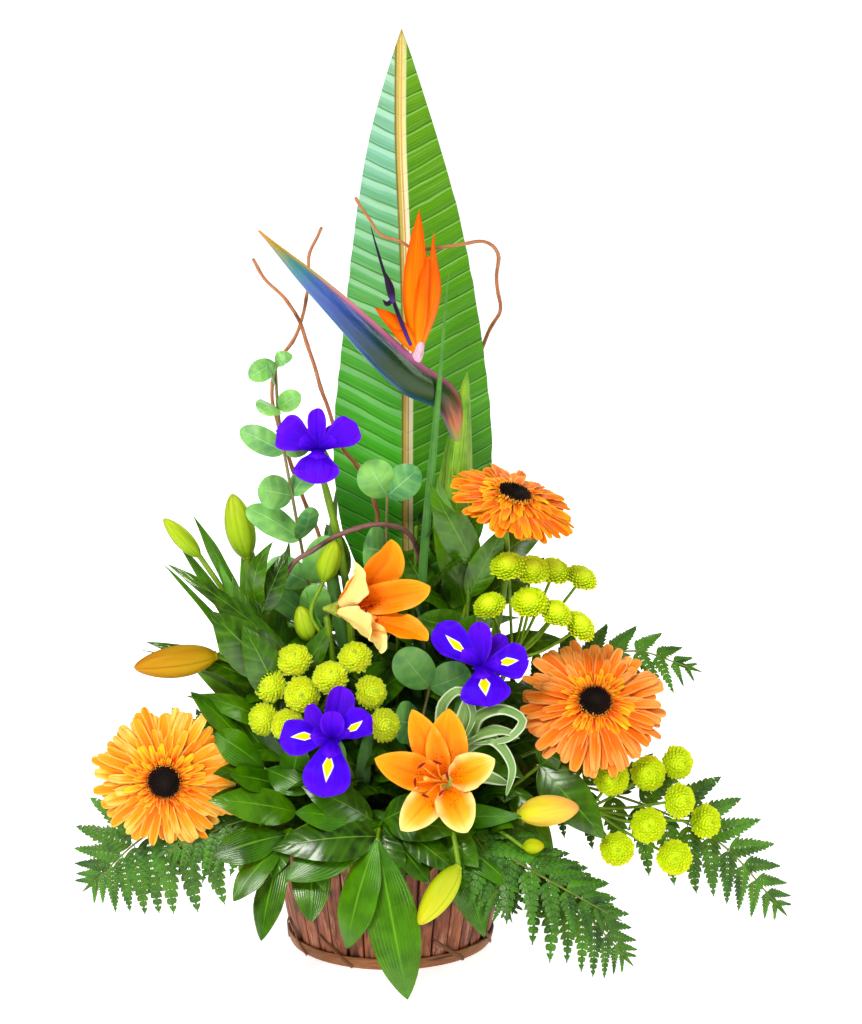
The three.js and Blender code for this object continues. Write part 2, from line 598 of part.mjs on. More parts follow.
// Rings of florets [height, distance, swell of every other floret], as shares of the radius.
const FLORETS = [[0.05, 1, -0.12], [0.58, 0.7, 0.16]];
function button(centre, axis, radius) {
  const { along, first, second } = across(axis);
  const at = (height) => vector(centre).addScaledVector(along, height * radius);
  return loft([
    [at(-0.45)],
    ...FLORETS.map(([height, out, swell]) => around(at(height), first, second, 10,
      (i) => radius * out * (i % 2 ? 1 + swell : 1))),
    [at(0.8)],
  ]);
}

// Heads [centre, radius, axis], each on its own side stalk from the top of a stalk.
function buttonSpray({ path, steps, heads }) {
  const fork = path[path.length - 1];
  const parts = [stem(path, SPRAY_STALK.radius, steps)];
  for (const [centre, size, axis] of heads) {
    const low = vector(centre).addScaledVector(vector(axis).normalize(), -0.2 * size);
    parts.push(button(centre, axis, size), stem([fork, low], SPRAY_STALK.branch, 1, 3));
  }
  return fuse(parts);
}

const SPRAYS = {
  left: { path: rooted(-32, -30, [-42, -34, 150], [-52, -36, 190]), steps: 5, heads: [
    [[-70, -56, 235], 12.5, FRONT_UP], [[-89, -58, 215], 12.5, FRONT_LEFT], [[-64, -70, 211], 13, FRONT],
    [[-43, -68, 225], 12.5, FRONT_UP], [[-25, -60, 238], 12, FRONT_UP],
    [[-94, -64, 191], 12, FRONT_LEFT], [[-74, -76, 189], 12, FRONT],
    [[-12, -70, 213], 12, FRONT_RIGHT], [[-2, -80, 191], 12, FRONT_RIGHT]] },
  right_top: { path: rooted(48, -26, [62, -24, 160], [92, -22, 226]), steps: 5, heads: [
    [[88, -42, 303], 12, FRONT_UP], [[106, -38, 299], 11.5, FRONT], [[123, -28, 296], 11.5, FRONT_UP],
    [[144, -25, 290], 11, FRONT_RIGHT], [[104, -48, 277], 12, FRONT], [[74, -46, 274], 11, FRONT_LEFT],
    [[124, -46, 268], 11, FRONT], [[142, -36, 256], 12, FRONT_RIGHT]] },
  right_low: { path: rooted(59, -30, [65, -33, 108], [94, -42, 118], [150, -44, 116]), steps: 6, heads: [
    [[165, -66, 146], 12.5, FRONT], [[193, -54, 146], 12.5, FRONT], [[217, -42, 151], 12.5, FRONT_RIGHT],
    [[217, -64, 128], 12.5, FRONT_RIGHT], [[192, -74, 112], 12.5, FRONT],
    [[238, -52, 108], 12.5, FRONT_RIGHT], [[169, -78, 95], 12, FRONT], [[212, -74, 87], 12.5, FRONT]] },
};
Object.entries(SPRAYS).forEach(([side, spray]) => {
  add(`chrysanthemum_spray_${side}`, buttonSpray(spray), 0xb6d61e, 0.6);
});

// ---- Eucalyptus: round leaves in pairs ----

add('eucalyptus_left', leafyStem({
  path: rooted(-32, 6, [-46, 4, 190], [-62, 2, 280], [-73, 3, 344], [-83, 4, 406], [-85, 5, 446]),
  radius: 1.5, steps: 12, outline: OVAL, sides: 4, keel: 0.08,
  leaves: [
    [12, [-105, -4, 434], 19, FRONT, 2], [12, [-72, 2, 452], 11, FRONT_LEFT, 1],
    [11, [-66, -4, 424], 16, [0.4, -0.5, 0.8], 2], [11, [-94, -14, 410], 22, FRONT, 2],
    [10, [-112, 6, 396], 20, [-0.2, -0.7, 0.8], 2], [10, [-60, 22, 388], 20, [0.4, -1, 0.6], 2],
    [9, [-98, -14, 352], 28, FRONT_UP, 3], [9, [-58, 16, 360], 24, FRONT, 2],
    [8, [-106, 4, 334], 26, FRONT_UP, 3], [7, [-44, -14, 318], 24, FRONT_UP, 2],
    [7, [-92, -6, 296], 22, FRONT_LEFT, 2],
  ],
}), 0x7fae9a, 0.6);
add('eucalyptus_upper', leafyStem({
  path: rooted(-2, 8, [-4, 9, 200], [-3, 10, 300], [-2, 11, 344]),
  radius: 1.5, steps: 7, outline: OVAL, sides: 4, keel: 0.06,
  leaves: [
    [7, [-18, 2, 372], 27, FRONT, 3], [7, [22, 6, 366], 24, [0.3, -1, 0.2], 3],
    [6, [-20, -6, 308], 34, FRONT, 4],
  ],
}), 0x7ba79a, 0.6);
add('eucalyptus_middle', leafyStem({
  path: rooted(12, -26, [18, -30, 150], [30, -38, 208]),
  radius: 1.5, steps: 5, outline: OVAL, sides: 4, keel: 0.06,
  leaves: [
    [5, [8, -50, 240], 28, [-0.2, -1, 0.3], 3], [5, [60, -44, 222], 26, [0.4, -1, 0.2], 2],
    [4, [4, -62, 190], 30, [-0.1, -1, 0.4], 4],
  ],
}), 0x88b3a4, 0.6);

// ---- Leafy stems with broad, pointed leaves ----

add('ruscus_left', leafyStem({
  path: rooted(-48, -44, [-66, -54, 128], [-92, -62, 152]),
  radius: 1.6, steps: 5,
  leaves: [
    [5, [-128, -78, 184], 26, FRONT_UP, 4], [5, [-146, -66, 212], 24, UP, 6],
    [5, [-58, -82, 140], 24, FRONT_UP, 4], [4, [-116, -96, 158], 22, FRONT_UP, 3],
    [4, [-66, -78, 176], 22, FRONT, 4], [3, [-124, -48, 206], 24, FRONT_LEFT, 3],
    [3, [-130, -88, 138], 24, FRONT_UP, 5],
  ],
}), 0x3d8a2c, 0.4);
add('ruscus_rim_left', leafyStem({
  path: rooted(-36, -56, [-54, -80, 116], [-74, -96, 112]),
  radius: 1.6, steps: 5,
  leaves: [
    [5, [-92, -134, 44], 26, FRONT_LEFT, 4], [5, [-128, -112, 100], 28, FRONT_UP, 5],
    [4, [-56, -128, 56], 28, FRONT, 4], [5, [-112, -128, 72], 22, FRONT_LEFT, 4],
  ],
}), 0x347d27, 0.4);
add('ruscus_rim_front', leafyStem({
  path: rooted(-4, -66, [-6, -92, 118], [-8, -112, 114]),
  radius: 1.6, steps: 5,
  leaves: [
    [5, [14, -146, 4], 36, FRONT, 6], [5, [-30, -134, 38], 32, FRONT_LEFT, 5],
    [4, [-74, -122, 86], 34, FRONT_UP, 6], [4, [-68, -106, 132], 24, FRONT_UP, 5],
    [4, [30, -124, 84], 20, FRONT_RIGHT, 3],
  ],
}), 0x3a8a28, 0.35);
add('ruscus_rim_right', leafyStem({
  path: rooted(34, -58, [42, -88, 114], [50, -101, 106]),
  radius: 1.6, steps: 5,
  leaves: [
    [5, [70, -116, 40], 30, FRONT, 1], [4, [96, -117, 74], 24, FRONT_RIGHT, 3],
  ],
}), 0x2f7424, 0.4);
add('broad_leaves_right', leafyStem({
  path: rooted(51, -41, [82, -54, 128], [112, -60, 154]),
  radius: 1.8, steps: 5,
  leaves: [
    [5, [160, -84, 104], 32, FRONT, 6], [4, [122, -88, 92], 20, FRONT, 2], [5, [126, -60, 168], 20, FRONT, 2],
  ],
}), 0x356f2a, 0.4);
add('broad_leaves_upper', leafyStem({
  path: rooted(32, -16, [38, -18, 160], [52, -14, 240], [63, -10, 290]),
  radius: 1.8, steps: 9,
  leaves: [
    [9, [122, 22, 322], 24, FRONT, 1], [8, [118, 24, 294], 28, FRONT, 1],
    [8, [36, -28, 366], 24, [-0.3, -1, 0.2], 6],
    [5, [76, -28, 270], 22, FRONT, 4], [5, [8, -28, 300], 14, FRONT_LEFT, 3],
  ],
}), 0x33702c, 0.45);
add('strap_leaves_left', leafyStem({
  path: rooted(-58, 8, [-74, 6, 130], [-86, 4, 160]),
  radius: 2, steps: 4, outline: STRAP,
  leaves: [
    [4, [-150, -2, 214], 16, FRONT_UP, 8], [4, [-132, -6, 240], 18, FRONT, 6],
    [3, [-160, -16, 178], 16, FRONT_UP, 8], [4, [-104, 2, 226], 16, FRONT, 4],
  ],
}), 0x3f8a3c, 0.45);
add('variegated_straps', leafyStem({
  path: rooted(4, -50, [24, -58, 150], [52, -68, 172]),
  radius: 1.8, steps: 5, outline: STRAP,
  leaves: [
    [5, [96, -86, 182], 13, [0.2, -0.6, 0.9], 14], [5, [58, -76, 214], 14, FRONT, 6],
    [4, [88, -88, 148], 15, FRONT_RIGHT, 10],
  ],
}), 0x9fbf8a, 0.45);
add('grass_blades', fuse([
  stem(rooted(17, -6, [19, -6, 160]), 2.4, 3),
  blade({ path: [[17, -6, 96], [27, -12, 295], [36, -15, 400], [42, -14, 470], [44, -12, 516]], width: 6,
    face: FRONT, outline: [[0, 0.9], [0.3, 1], [0.6, 0.9], [0.82, 0.7], [1, 0]], keel: 0.3, thick: 1.6 }),
  blade({ path: [[18, -6, 150], [31, -11, 300], [33, -17, 390], [30, -19, 446]], width: 6, face: FRONT,
    outline: [[0, 0.9], [0.4, 1], [0.75, 0.8], [1, 0]], keel: 0.3, thick: 1.6 }),
]), 0x5a9a3a, 0.5);

// ---- Fern fronds: toothed pinnae in pairs on an arched rib ----

// Pairs stand on the rib's rings from first on; reach is the longest pinna's length.
function fernFrond({ path, radius = 1.3, steps, first, reach, face, lean = 0.5, droop = 0.1 }) {
  const line = curve(path);
  const parts = [stem(path, radius, steps, 3)];
  for (let ring = first; ring <= steps; ring += 1) {
    const base = line.getPointAt(ring / steps);
    const along = line.getTangentAt(ring / steps);
    const out = vector(face).addScaledVector(along, -vector(face).dot(along)).normalize();
    const side = along.clone().cross(out);
    const done = (ring - first) / (steps - first + 1);
    const length = reach * (1 - 0.72 * done ** 1.15) * (ring === first ? 0.85 : 1);
    const outline = length > 33 ? LONG_PINNA : length > 21 ? SHORT_PINNA : TINY_PINNA;
    const ways = ring === steps ? [0] : [-1, 1];
    for (const way of ways) {
      const lie = way === 0 ? along.clone()
        : along.clone().multiplyScalar(lean).addScaledVector(side, way).normalize();
      const tip = base.clone().addScaledVector(lie, length);
      tip.z -= droop * length;
      const middle = base.clone().lerp(tip, 0.5).addScaledVector(out, 0.06 * length);
      parts.push(blade({ path: [base, middle, tip], width: 4 + 0.26 * length, face, outline,
        keel: 0.1, small: true }));
    }
  }
  return fuse(parts);
}

const FRONDS = {
  left: { path: rooted(-55, -37, [-57, -38, 112], [-88, -46, 122], [-130, -46, 114],
    [-180, -46, 97], [-222, -54, 62]),
    steps: 8, first: 4, reach: 50, face: [-0.2, -0.7, 0.8] },
  left_high: { path: rooted(-64, -10, [-94, -20, 128], [-150, -14, 146], [-204, -14, 146]),
    steps: 8, first: 4, reach: 40, face: [-0.2, -0.8, 0.7] },
  right: { path: rooted(66, -4, [68, -5, 112], [108, -18, 130], [174, -28, 120],
    [248, -40, 88], [292, -49, 42]),
    steps: 10, first: 5, reach: 46, face: [0.2, -0.7, 0.8] },
  right_low: { path: rooted(43, -50, [66, -76, 114], [100, -94, 92], [146, -104, 52], [172, -108, 24]),
    steps: 9, first: 4, reach: 40, face: [0.2, -0.9, 0.6] },
  right_high: { path: rooted(62, 10, [86, 10, 150], [128, 6, 206], [184, 2, 226], [226, 0, 214]),
    steps: 9, first: 5, reach: 36, face: [0.1, -0.5, 0.9] },
  back_left: { path: rooted(-36, 56, [-48, 78, 128], [-78, 108, 148], [-112, 132, 134]),
    steps: 8, first: 5, reach: 44, face: [-0.3, 0.7, 0.8] },
  back_right: { path: rooted(46, 47, [66, 74, 128], [90, 104, 150], [118, 130, 132]),
    steps: 8, first: 5, reach: 44, face: [0.3, 0.7, 0.8] },
};
Object.entries(FRONDS).forEach(([side, frond]) => {
  add(`fern_${side}`, fernFrond(frond), 0x2f6b24, 0.6);
});

// ---- Broad leaves that close the back ----

add('broad_leaves_back', leafyStem({
  path: rooted(4, 62, [6, 76, 130], [8, 86, 160]),
  radius: 1.8, steps: 5,
  leaves: [
    [5, [-40, 112, 186], 32, BACK, 5], [5, [60, 112, 182], 32, BACK, 5], [4, [-20, 128, 104], 34, BACK, 6],
    [4, [42, 130, 100], 34, BACK, 6], [5, [10, 104, 214], 28, BACK, 4],
  ],
}), 0x34752a, 0.45);

// ---- Foam, with a plain hole for every stem ----

const foamWall = 2 * GAP + LINER.wall + GAP;
add('foam', turned([
  [0, foamFloor], [within(foamFloor, foamWall + 0.2), foamFloor],
  [within(FOAM.top - FOAM.edge, foamWall), FOAM.top - FOAM.edge],
  [within(FOAM.top, foamWall + FOAM.edge), FOAM.top], [0, FOAM.top],
], ROUND).subtract(fuse(holes)), 0x2f5a35, 0.9);

export default group;
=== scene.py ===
"""Looks of a flower basket arrangement: bark-strip basket, blooms, leaves, ferns and twigs."""

import json
import logging
import math
from dataclasses import dataclass
from enum import Enum
from typing import Callable, Sequence

import bpy
import numpy as np
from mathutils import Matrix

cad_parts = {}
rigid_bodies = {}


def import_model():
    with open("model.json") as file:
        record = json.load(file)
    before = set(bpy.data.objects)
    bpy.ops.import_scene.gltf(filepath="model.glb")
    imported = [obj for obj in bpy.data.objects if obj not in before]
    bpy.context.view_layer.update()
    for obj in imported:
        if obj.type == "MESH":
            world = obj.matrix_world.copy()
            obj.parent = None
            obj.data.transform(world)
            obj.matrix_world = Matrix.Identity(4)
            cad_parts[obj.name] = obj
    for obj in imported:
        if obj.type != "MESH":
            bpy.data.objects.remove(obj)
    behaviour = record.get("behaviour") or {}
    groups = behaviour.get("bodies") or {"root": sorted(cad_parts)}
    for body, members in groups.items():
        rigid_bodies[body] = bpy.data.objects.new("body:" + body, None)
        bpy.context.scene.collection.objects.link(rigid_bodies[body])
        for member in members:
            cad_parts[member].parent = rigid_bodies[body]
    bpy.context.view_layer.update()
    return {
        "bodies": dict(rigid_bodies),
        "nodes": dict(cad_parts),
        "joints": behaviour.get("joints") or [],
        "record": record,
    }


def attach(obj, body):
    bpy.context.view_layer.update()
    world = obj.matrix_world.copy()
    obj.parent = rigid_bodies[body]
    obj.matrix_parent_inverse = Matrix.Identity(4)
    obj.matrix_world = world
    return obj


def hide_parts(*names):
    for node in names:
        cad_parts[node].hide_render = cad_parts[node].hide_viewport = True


Array = np.ndarray
Point = tuple[float, float, float]
Colour = tuple[float, float, float]
Path = Sequence[Point]
Finishes = dict[str, bpy.types.Material]
Socket = bpy.types.NodeSocket

LOG = logging.getLogger("flower_basket")
MM = 0.001  # the numbers below are millimetres, the meshes are metres

FRONT: Point = (0, -1, 0.25)
UP: Point = (0, -0.35, 1)
FRONT_UP: Point = (0, -1, 0.9)
FRONT_LEFT: Point = (-0.6, -0.9, 0.3)
FRONT_RIGHT: Point = (0.6, -0.9, 0.3)
BACK: Point = (0, 1, 0.4)

ROOT_DEPTH = 46.0  # how deep the stems stand in the foam
FOAM_TOP = 92.0
GOLDEN_ANGLE = 2.39996  # radians
TURN = 6.28  # about one whole turn in radians


# ---- Lines, frames and closed surfaces, as whole arrays ----


def floats(values: object) -> Array:
    """Return the values as an array of floats."""
    return np.asarray(values, float)


def unit(vectors: Array) -> Array:
    """Return vectors of length one: each divided by its own length."""
    return vectors / np.maximum(np.linalg.norm(vectors, axis=-1, keepdims=True), 1e-9)


def even(count: int) -> Array:
    """Return count shares from 0 to 1 at equal steps."""
    return np.linspace(0.0, 1.0, count)


def eased(count: int) -> Array:
    """Return count shares from 0 to 1, closer together at both ends: half of one less the cosine."""
    return (1 - np.cos(np.pi * np.linspace(0.0, 1.0, count))) / 2


def smooth_line(path: Path, shares: Array) -> Array:
    """Return points on a smooth curve through the path.

    Between two points of the path runs a cubic whose end slopes are the central differences over
    knots that grow by the square root of each chord. It is then read at shares of its length.

    Args:
        path: Points that the curve passes through.
        shares: Places along the curve, from 0 to 1.

    Returns:
        One point for each share, as rows.
    """
    points = floats(path)
    chords = np.linalg.norm(np.diff(points, axis=0), axis=1)
    knots = np.concatenate([[0.0], np.cumsum(np.sqrt(np.maximum(chords, 1e-6)))])
    slopes = np.gradient(points, knots, axis=0)
    spread = np.linspace(0, len(points) - 1, 32 * (len(points) - 1) + 1)
    first = np.minimum(spread.astype(int), len(points) - 2)
    f = (spread - first)[:, None]
    width = (knots[first + 1] - knots[first])[:, None]
    fine = (
        (2 * f**3 - 3 * f**2 + 1) * points[first] + (f**3 - 2 * f**2 + f) * width * slopes[first]
        + (3 * f**2 - 2 * f**3) * points[first + 1] + (f**3 - f**2) * width * slopes[first + 1]
    )
    run = np.concatenate([[0.0], np.cumsum(np.linalg.norm(np.diff(fine, axis=0), axis=1))])
    want = np.asarray(shares) * run[-1]
    return np.stack([np.interp(want, run, fine[:, k]) for k in range(3)], axis=-1)


def bowed(base: Array, middle: Array, tip: Array, shares: Array) -> Array:
    """Return the parabola through base, middle and tip, read at shares, for many blades at once.

    Args:
        base: First points, one row for each blade.
        middle: Points at half way.
        tip: Last points.
        shares: Places along the parabola, from 0 to 1.

    Returns:
        Points in an array of blades by shares by three.
    """
    t = np.asarray(shares)[None, :, None]
    return (base[:, None] * (1 - t) * (1 - 2 * t) + middle[:, None] * 4 * t * (1 - t)
            + tip[:, None] * t * (2 * t - 1))


def blade_frames(line: Array, face: Array) -> tuple[Array, Array]:
    """Return the side and outward directions of blades along their lines.

    The outward direction is the face with its part along the line taken away, and the side
    direction is the line's direction crossed with it.

    Args:
        line: Points, blades by stations by three.
        face: Direction that each blade's upper face turns to, blades by three.

    Returns:
        Side and outward unit vectors in arrays like line.
    """
    along = unit(np.gradient(line, axis=1))
    turned = floats(face)
    if turned.ndim == 2:
        turned = turned[:, None]
    out = unit(turned - along * np.sum(turned * along, axis=-1, keepdims=True))
    return np.cross(along, out), out


def value_noise(x: Array, y: Array, seed: int) -> Array:
    """Return smooth noise from 0 to 1: random values on a lattice of whole steps, eased between.

    Args:
        x: Places across the lattice.
        y: Places up the lattice.
        seed: Seed of its values.

    Returns:
        Noise in an array like x.
    """
    lattice = np.random.default_rng(seed).random((97, 97))
    i, j = np.floor(x).astype(int), np.floor(y).astype(int)
    f, g = x - i, y - j
    f, g = f * f * (3 - 2 * f), g * g * (3 - 2 * g)
    read = lambda a, b: lattice[a % 97, b % 97]
    return ((read(i, j) * (1 - f) + read(i + 1, j) * f) * (1 - g)
            + (read(i, j + 1) * (1 - f) + read(i + 1, j + 1) * f) * g)


class Shell:
    """Closed surfaces gathered for one piece, in millimetres, with a pattern map and two marks."""

    def __init__(self) -> None:
        """Start with nothing gathered."""
        self.points: list[Array] = []
        self.corners: list[Array] = []
        self.sizes: list[Array] = []
        self.finishes: list[Array] = []
        self.maps: list[Array] = []
        self.tints: list[Array] = []
        self.unders: list[Array] = []
        self.count = 0

    def rings(
        self, rings: Array, u: Array, v: Array, tint: Array | float = 0.5,
        under: Array | float = 0.0, finish: int = 0, looped: bool = False,
    ) -> None:
        """Add closed bodies, each a row of rings of points with a flat cap at both ends.

        A face joins each pair of neighbours on one ring with the same pair on the next.

        Args:
            rings: Points, bodies by rings by points on a ring by three.
            u: Pattern place of each point round a ring.
            v: Pattern place of each ring along the body.
            tint: One share for each body, for colour that differs from one to the next.
            under: Share from 0, upper face, to 1, underside, for each point on a ring.
            finish: Index of the material.
            looped: True if the last ring joins the first, with no caps.
        """
        bodies, rows, count, _ = rings.shape
        i = np.arange(rows if looped else rows - 1)[:, None]
        j = np.arange(count)[None, :]
        k, after = (i + 1) % rows, (j + 1) % count
        quads = np.stack(
            [i * count + j, i * count + after, k * count + after, k * count + j], axis=-1
        ).reshape(-1, 4)
        corners, sizes = [quads.ravel()], [np.full(len(quads), 4)]
        if not looped:
            corners += [np.arange(count)[::-1], (rows - 1) * count + np.arange(count)]
            sizes.append(np.array([count, count]))
        one, size = np.concatenate(corners), np.concatenate(sizes)
        offsets = self.count + np.arange(bodies)[:, None] * rows * count
        self.points.append(rings.reshape(-1, 3))
        self.corners.append((one[None] + offsets).ravel())
        self.sizes.append(np.tile(size, bodies))
        self.finishes.append(np.full(len(size) * bodies, finish))
        shape = (bodies, rows, count)
        spread = lambda a: np.broadcast_to(a, shape).reshape(-1)
        self.maps.append(np.stack([spread(floats(u)),
                                   spread(floats(v)[:, None])], axis=-1))
        tint = floats(tint)
        self.tints.append(spread(tint[:, None, None] if tint.ndim == 1 else tint))
        self.unders.append(spread(floats(under)))
        self.count += bodies * rows * count

    def ribbons(
        self, line: Array, half: Array, face: Array | Point, across: int = 5,
        lift: Callable[[Array, Array], Array] | None = None, thick: float = 0.7,
        tint: Array | float = 0.5, finish: int = 0, shares: Array | None = None,
    ) -> None:
        """Add thin blades: leaves, petals, rays, florets or pinnules.

        A point of the upper face is the line's point, plus the side direction times the half
        width times its place across, plus the outward direction times the lift. The lower face
        lies under it by the thickness times one less the square of that place, so that the two
        faces meet in a sharp margin.

        Args:
            line: Middle line of each blade, blades by stations by three.
            half: Half width at each station, blades by stations or stations.
            face: Direction of the upper face, for each blade or for all.
            across: Number of points from one margin to the other.
            lift: Height in millimetres from places across and along.
            thick: Thickness in the middle of a blade.
            tint: One share for each blade.
            finish: Index of the material.
            shares: Places of the stations along the line.
        """
        blades, rows, _ = line.shape
        t = even(rows) if shares is None else shares
        s = np.linspace(-1, 1, across)
        half = np.broadcast_to(half, (blades, rows))
        face = np.broadcast_to(floats(face), (blades, 3))
        side, out = blade_frames(line, face)
        height = np.zeros((rows, across)) if lift is None else lift(s[None, :], t[:, None])
        height = np.broadcast_to(height, (blades, rows, across))
        top = (line[:, :, None] + side[:, :, None] * (half[:, :, None] * s)[..., None]
               + out[:, :, None] * height[..., None])
        depth = thick * (1 - s**2) * np.minimum(1, half[:, :, None] / max(thick, 1e-6))
        low = (top - out[:, :, None] * depth[..., None])[:, :, -2:0:-1]
        u = (s + 1) / 2
        self.rings(
            np.concatenate([top, low], axis=2), np.concatenate([u, u[-2:0:-1]]), t, tint,
            np.concatenate([np.zeros(across), np.ones(across - 2)]), finish,
        )

    def tube(
        self, line: Array, radius: Array | float, sides: int = 10, tint: float = 0.5,
        finish: int = 0, ripple: Callable[[Array, Array], Array] | None = None,
    ) -> None:
        """Add a round stem: a circle carried along a line, with rounded ends.

        Args:
            line: Points of the middle line.
            radius: Radius at each point, or one for all.
            sides: Number of points round the stem.
            tint: Share for colour.
            finish: Index of the material.
            ripple: Factor on the radius from the angle and the share along the line.
        """
        radius = np.broadcast_to(floats(radius), (len(line),))
        along = unit(np.gradient(line, axis=0))
        tip = np.array([0.45, 0.8, 0.95, 1.0])
        back = np.array([0.9, 0.6, 0.25, 0.0])
        start = line[0] - along[0] * (back * radius[0])[:, None]
        end = line[-1] + along[-1] * (back[::-1] * radius[-1])[:, None]
        line = np.concatenate([start[:-1], line, end[1:]])
        radius = np.concatenate([tip[:-1] * radius[0], radius, tip[::-1][1:] * radius[-1]])
        along = unit(np.gradient(line, axis=0))
        guide = np.array([0.12, 1.0, 0.07])
        first = unit(guide - along * (along @ guide)[:, None])
        second = np.cross(along, first)
        angle = 2 * np.pi * np.arange(sides) / sides
        t = even(len(line))
        swell = 1.0 if ripple is None else ripple(angle[None, :], t[:, None])
        size = (radius[:, None] * swell)[..., None]
        ring = (line[:, None] + first[:, None] * size * np.cos(angle)[None, :, None]
                + second[:, None] * size * np.sin(angle)[None, :, None])
        self.rings(ring[None], np.arange(sides) / sides, t, tint, 0.0, finish)

    def turned(
        self, profile: Sequence[tuple[float, float]], centre: Point | Array, axis: Point | Array,
        sides: int = 24, tint: float = 0.5, finish: int = 0,
        ripple: Callable[[Array, Array], Array] | None = None,
    ) -> None:
        """Add a turned body: rings whose radius and height follow a profile along an axis.

        Args:
            profile: Radius and height of each ring, from the low end to the high end.
            centre: Point from which the heights are measured.
            axis: Direction of the axis.
            sides: Number of points round a ring.
            tint: Share for colour.
            finish: Index of the material.
            ripple: Factor on the radius from the angle and the share along the profile.
        """
        shape = floats(profile)
        along, first, second = across_axis(axis)
        angle = 2 * np.pi * np.arange(sides) / sides
        t = even(len(shape))
        swell = np.ones((len(shape), sides)) if ripple is None else ripple(angle[None], t[:, None])
        size = (np.maximum(shape[:, :1], 0.02) * swell)[..., None]
        ring = (floats(centre) + along * shape[:, 1][:, None, None]
                + first * size * np.cos(angle)[None, :, None]
                + second * size * np.sin(angle)[None, :, None])
        self.rings(ring[None], np.arange(sides) / sides, t, tint, 0.0, finish)

    def piece(
        self, name: str, finishes: Sequence[bpy.types.Material], replaces: Sequence[str] = (),
        slot: str | None = None, crease: float = 58.0,
    ) -> bpy.types.Object:
        """Make the mesh object of what was gathered, and let it ride and replace CAD nodes.

        Args:
            name: Name of the piece.
            finishes: Materials in the order of their indices.
            replaces: CAD nodes that this piece stands for.
            slot: The record's material slot; not used.
            crease: Edges sharper than this angle in degrees are shaded sharp.

        Returns:
            The new object, at the origin.
        """
        mesh = bpy.data.meshes.new(name)
        points, corners = np.concatenate(self.points) * MM, np.concatenate(self.corners)
        sizes = np.concatenate(self.sizes)
        mesh.vertices.add(len(points))
        mesh.vertices.foreach_set("co", points.astype(np.float32).ravel())
        mesh.loops.add(len(corners))
        mesh.loops.foreach_set("vertex_index", corners.astype(np.int32))
        mesh.polygons.add(len(sizes))
        mesh.polygons.foreach_set("loop_start", (np.cumsum(sizes) - sizes).astype(np.int32))
        mesh.polygons.foreach_set("material_index", np.concatenate(self.finishes).astype(np.int32))
        mesh.polygons.foreach_set("use_smooth", np.ones(len(sizes), bool))
        mesh.update(calc_edges=True)
        layer = mesh.uv_layers.new(name="pattern")
        layer.data.foreach_set("uv", np.concatenate(self.maps)[corners].astype(np.float32).ravel())
        for label, values in (("tint", self.tints), ("under", self.unders)):
            mark = mesh.attributes.new(label, "FLOAT", "POINT")
            mark.data.foreach_set("value", np.concatenate(values).astype(np.float32))
        mesh.set_sharp_from_angle(angle=math.radians(crease))
        for finish in finishes:
            mesh.materials.append(finish)
        piece = bpy.data.objects.new(name, mesh)
        bpy.context.scene.collection.objects.link(piece)
        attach(piece, "root")
        if replaces:
            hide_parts(*replaces)
        LOG.info("%s: %d faces", name, len(sizes))
        return piece


def across_axis(axis: Point | Array) -> tuple[Array, Array, Array]:
    """Return an axis as a unit vector, and two unit vectors across it and each other.

    Args:
        axis: Any direction.

    Returns:
        The axis, a vector across it, and one across both.
    """
    along = unit(floats(axis))
    guide = np.array([1.0, 0, 0]) if abs(along[2]) > 0.9 else np.array([0, 0, 1.0])
    first = unit(np.cross(guide, along))
    return along, first, np.cross(along, first)


def rooted(x: float, y: float, *above: Point) -> list[Point]:
    """Return the path of a stem that stands in the foam at x, y and goes on through points."""
    middle = (ROOT_DEPTH + FOAM_TOP) / 2 + 4
    return [(x, y, ROOT_DEPTH), (x, y, middle), (x, y, FOAM_TOP + 6), *above]


@dataclass(frozen=True)
class Outline:
    """Half width along a blade: share to the power rise, times the rest to the power fall.

    The product is divided by its own largest value, and base is added at the foot and fades out.
    """

    rise: float
    fall: float
    base: float = 0.1

    def half(self, shares: Array, width: float) -> Array:
        """Return half widths in millimetres at shares of a blade that is width wide.

        Args:
            shares: Places along the blade, from 0 to 1.
            width: Full width at the widest place.

        Returns:
            Half widths in an array like shares.
        """
        t = np.clip(shares, 1e-4, 1 - 1e-4)
        top = self.rise / (self.rise + self.fall)
        peak = top**self.rise * (1 - top) ** self.fall
        body = t**self.rise * (1 - t) ** self.fall / peak
        foot = self.base * np.clip(1 - t / 0.25, 0, 1)
        return np.maximum(np.maximum(body, foot), 0.015) * width / 2


LANCE = Outline(0.62, 1.05, 0.12)
ROUND_LEAF = Outline(0.48, 0.5, 0.12)
STRAP = Outline(0.12, 0.62, 0.7)
RAY = Outline(0.5, 0.24, 0.3)
TEPAL = Outline(0.72, 0.84, 0.22)
ELLIPTIC = Outline(1.0, 0.86, 0.12)


# ---- Finishes ----


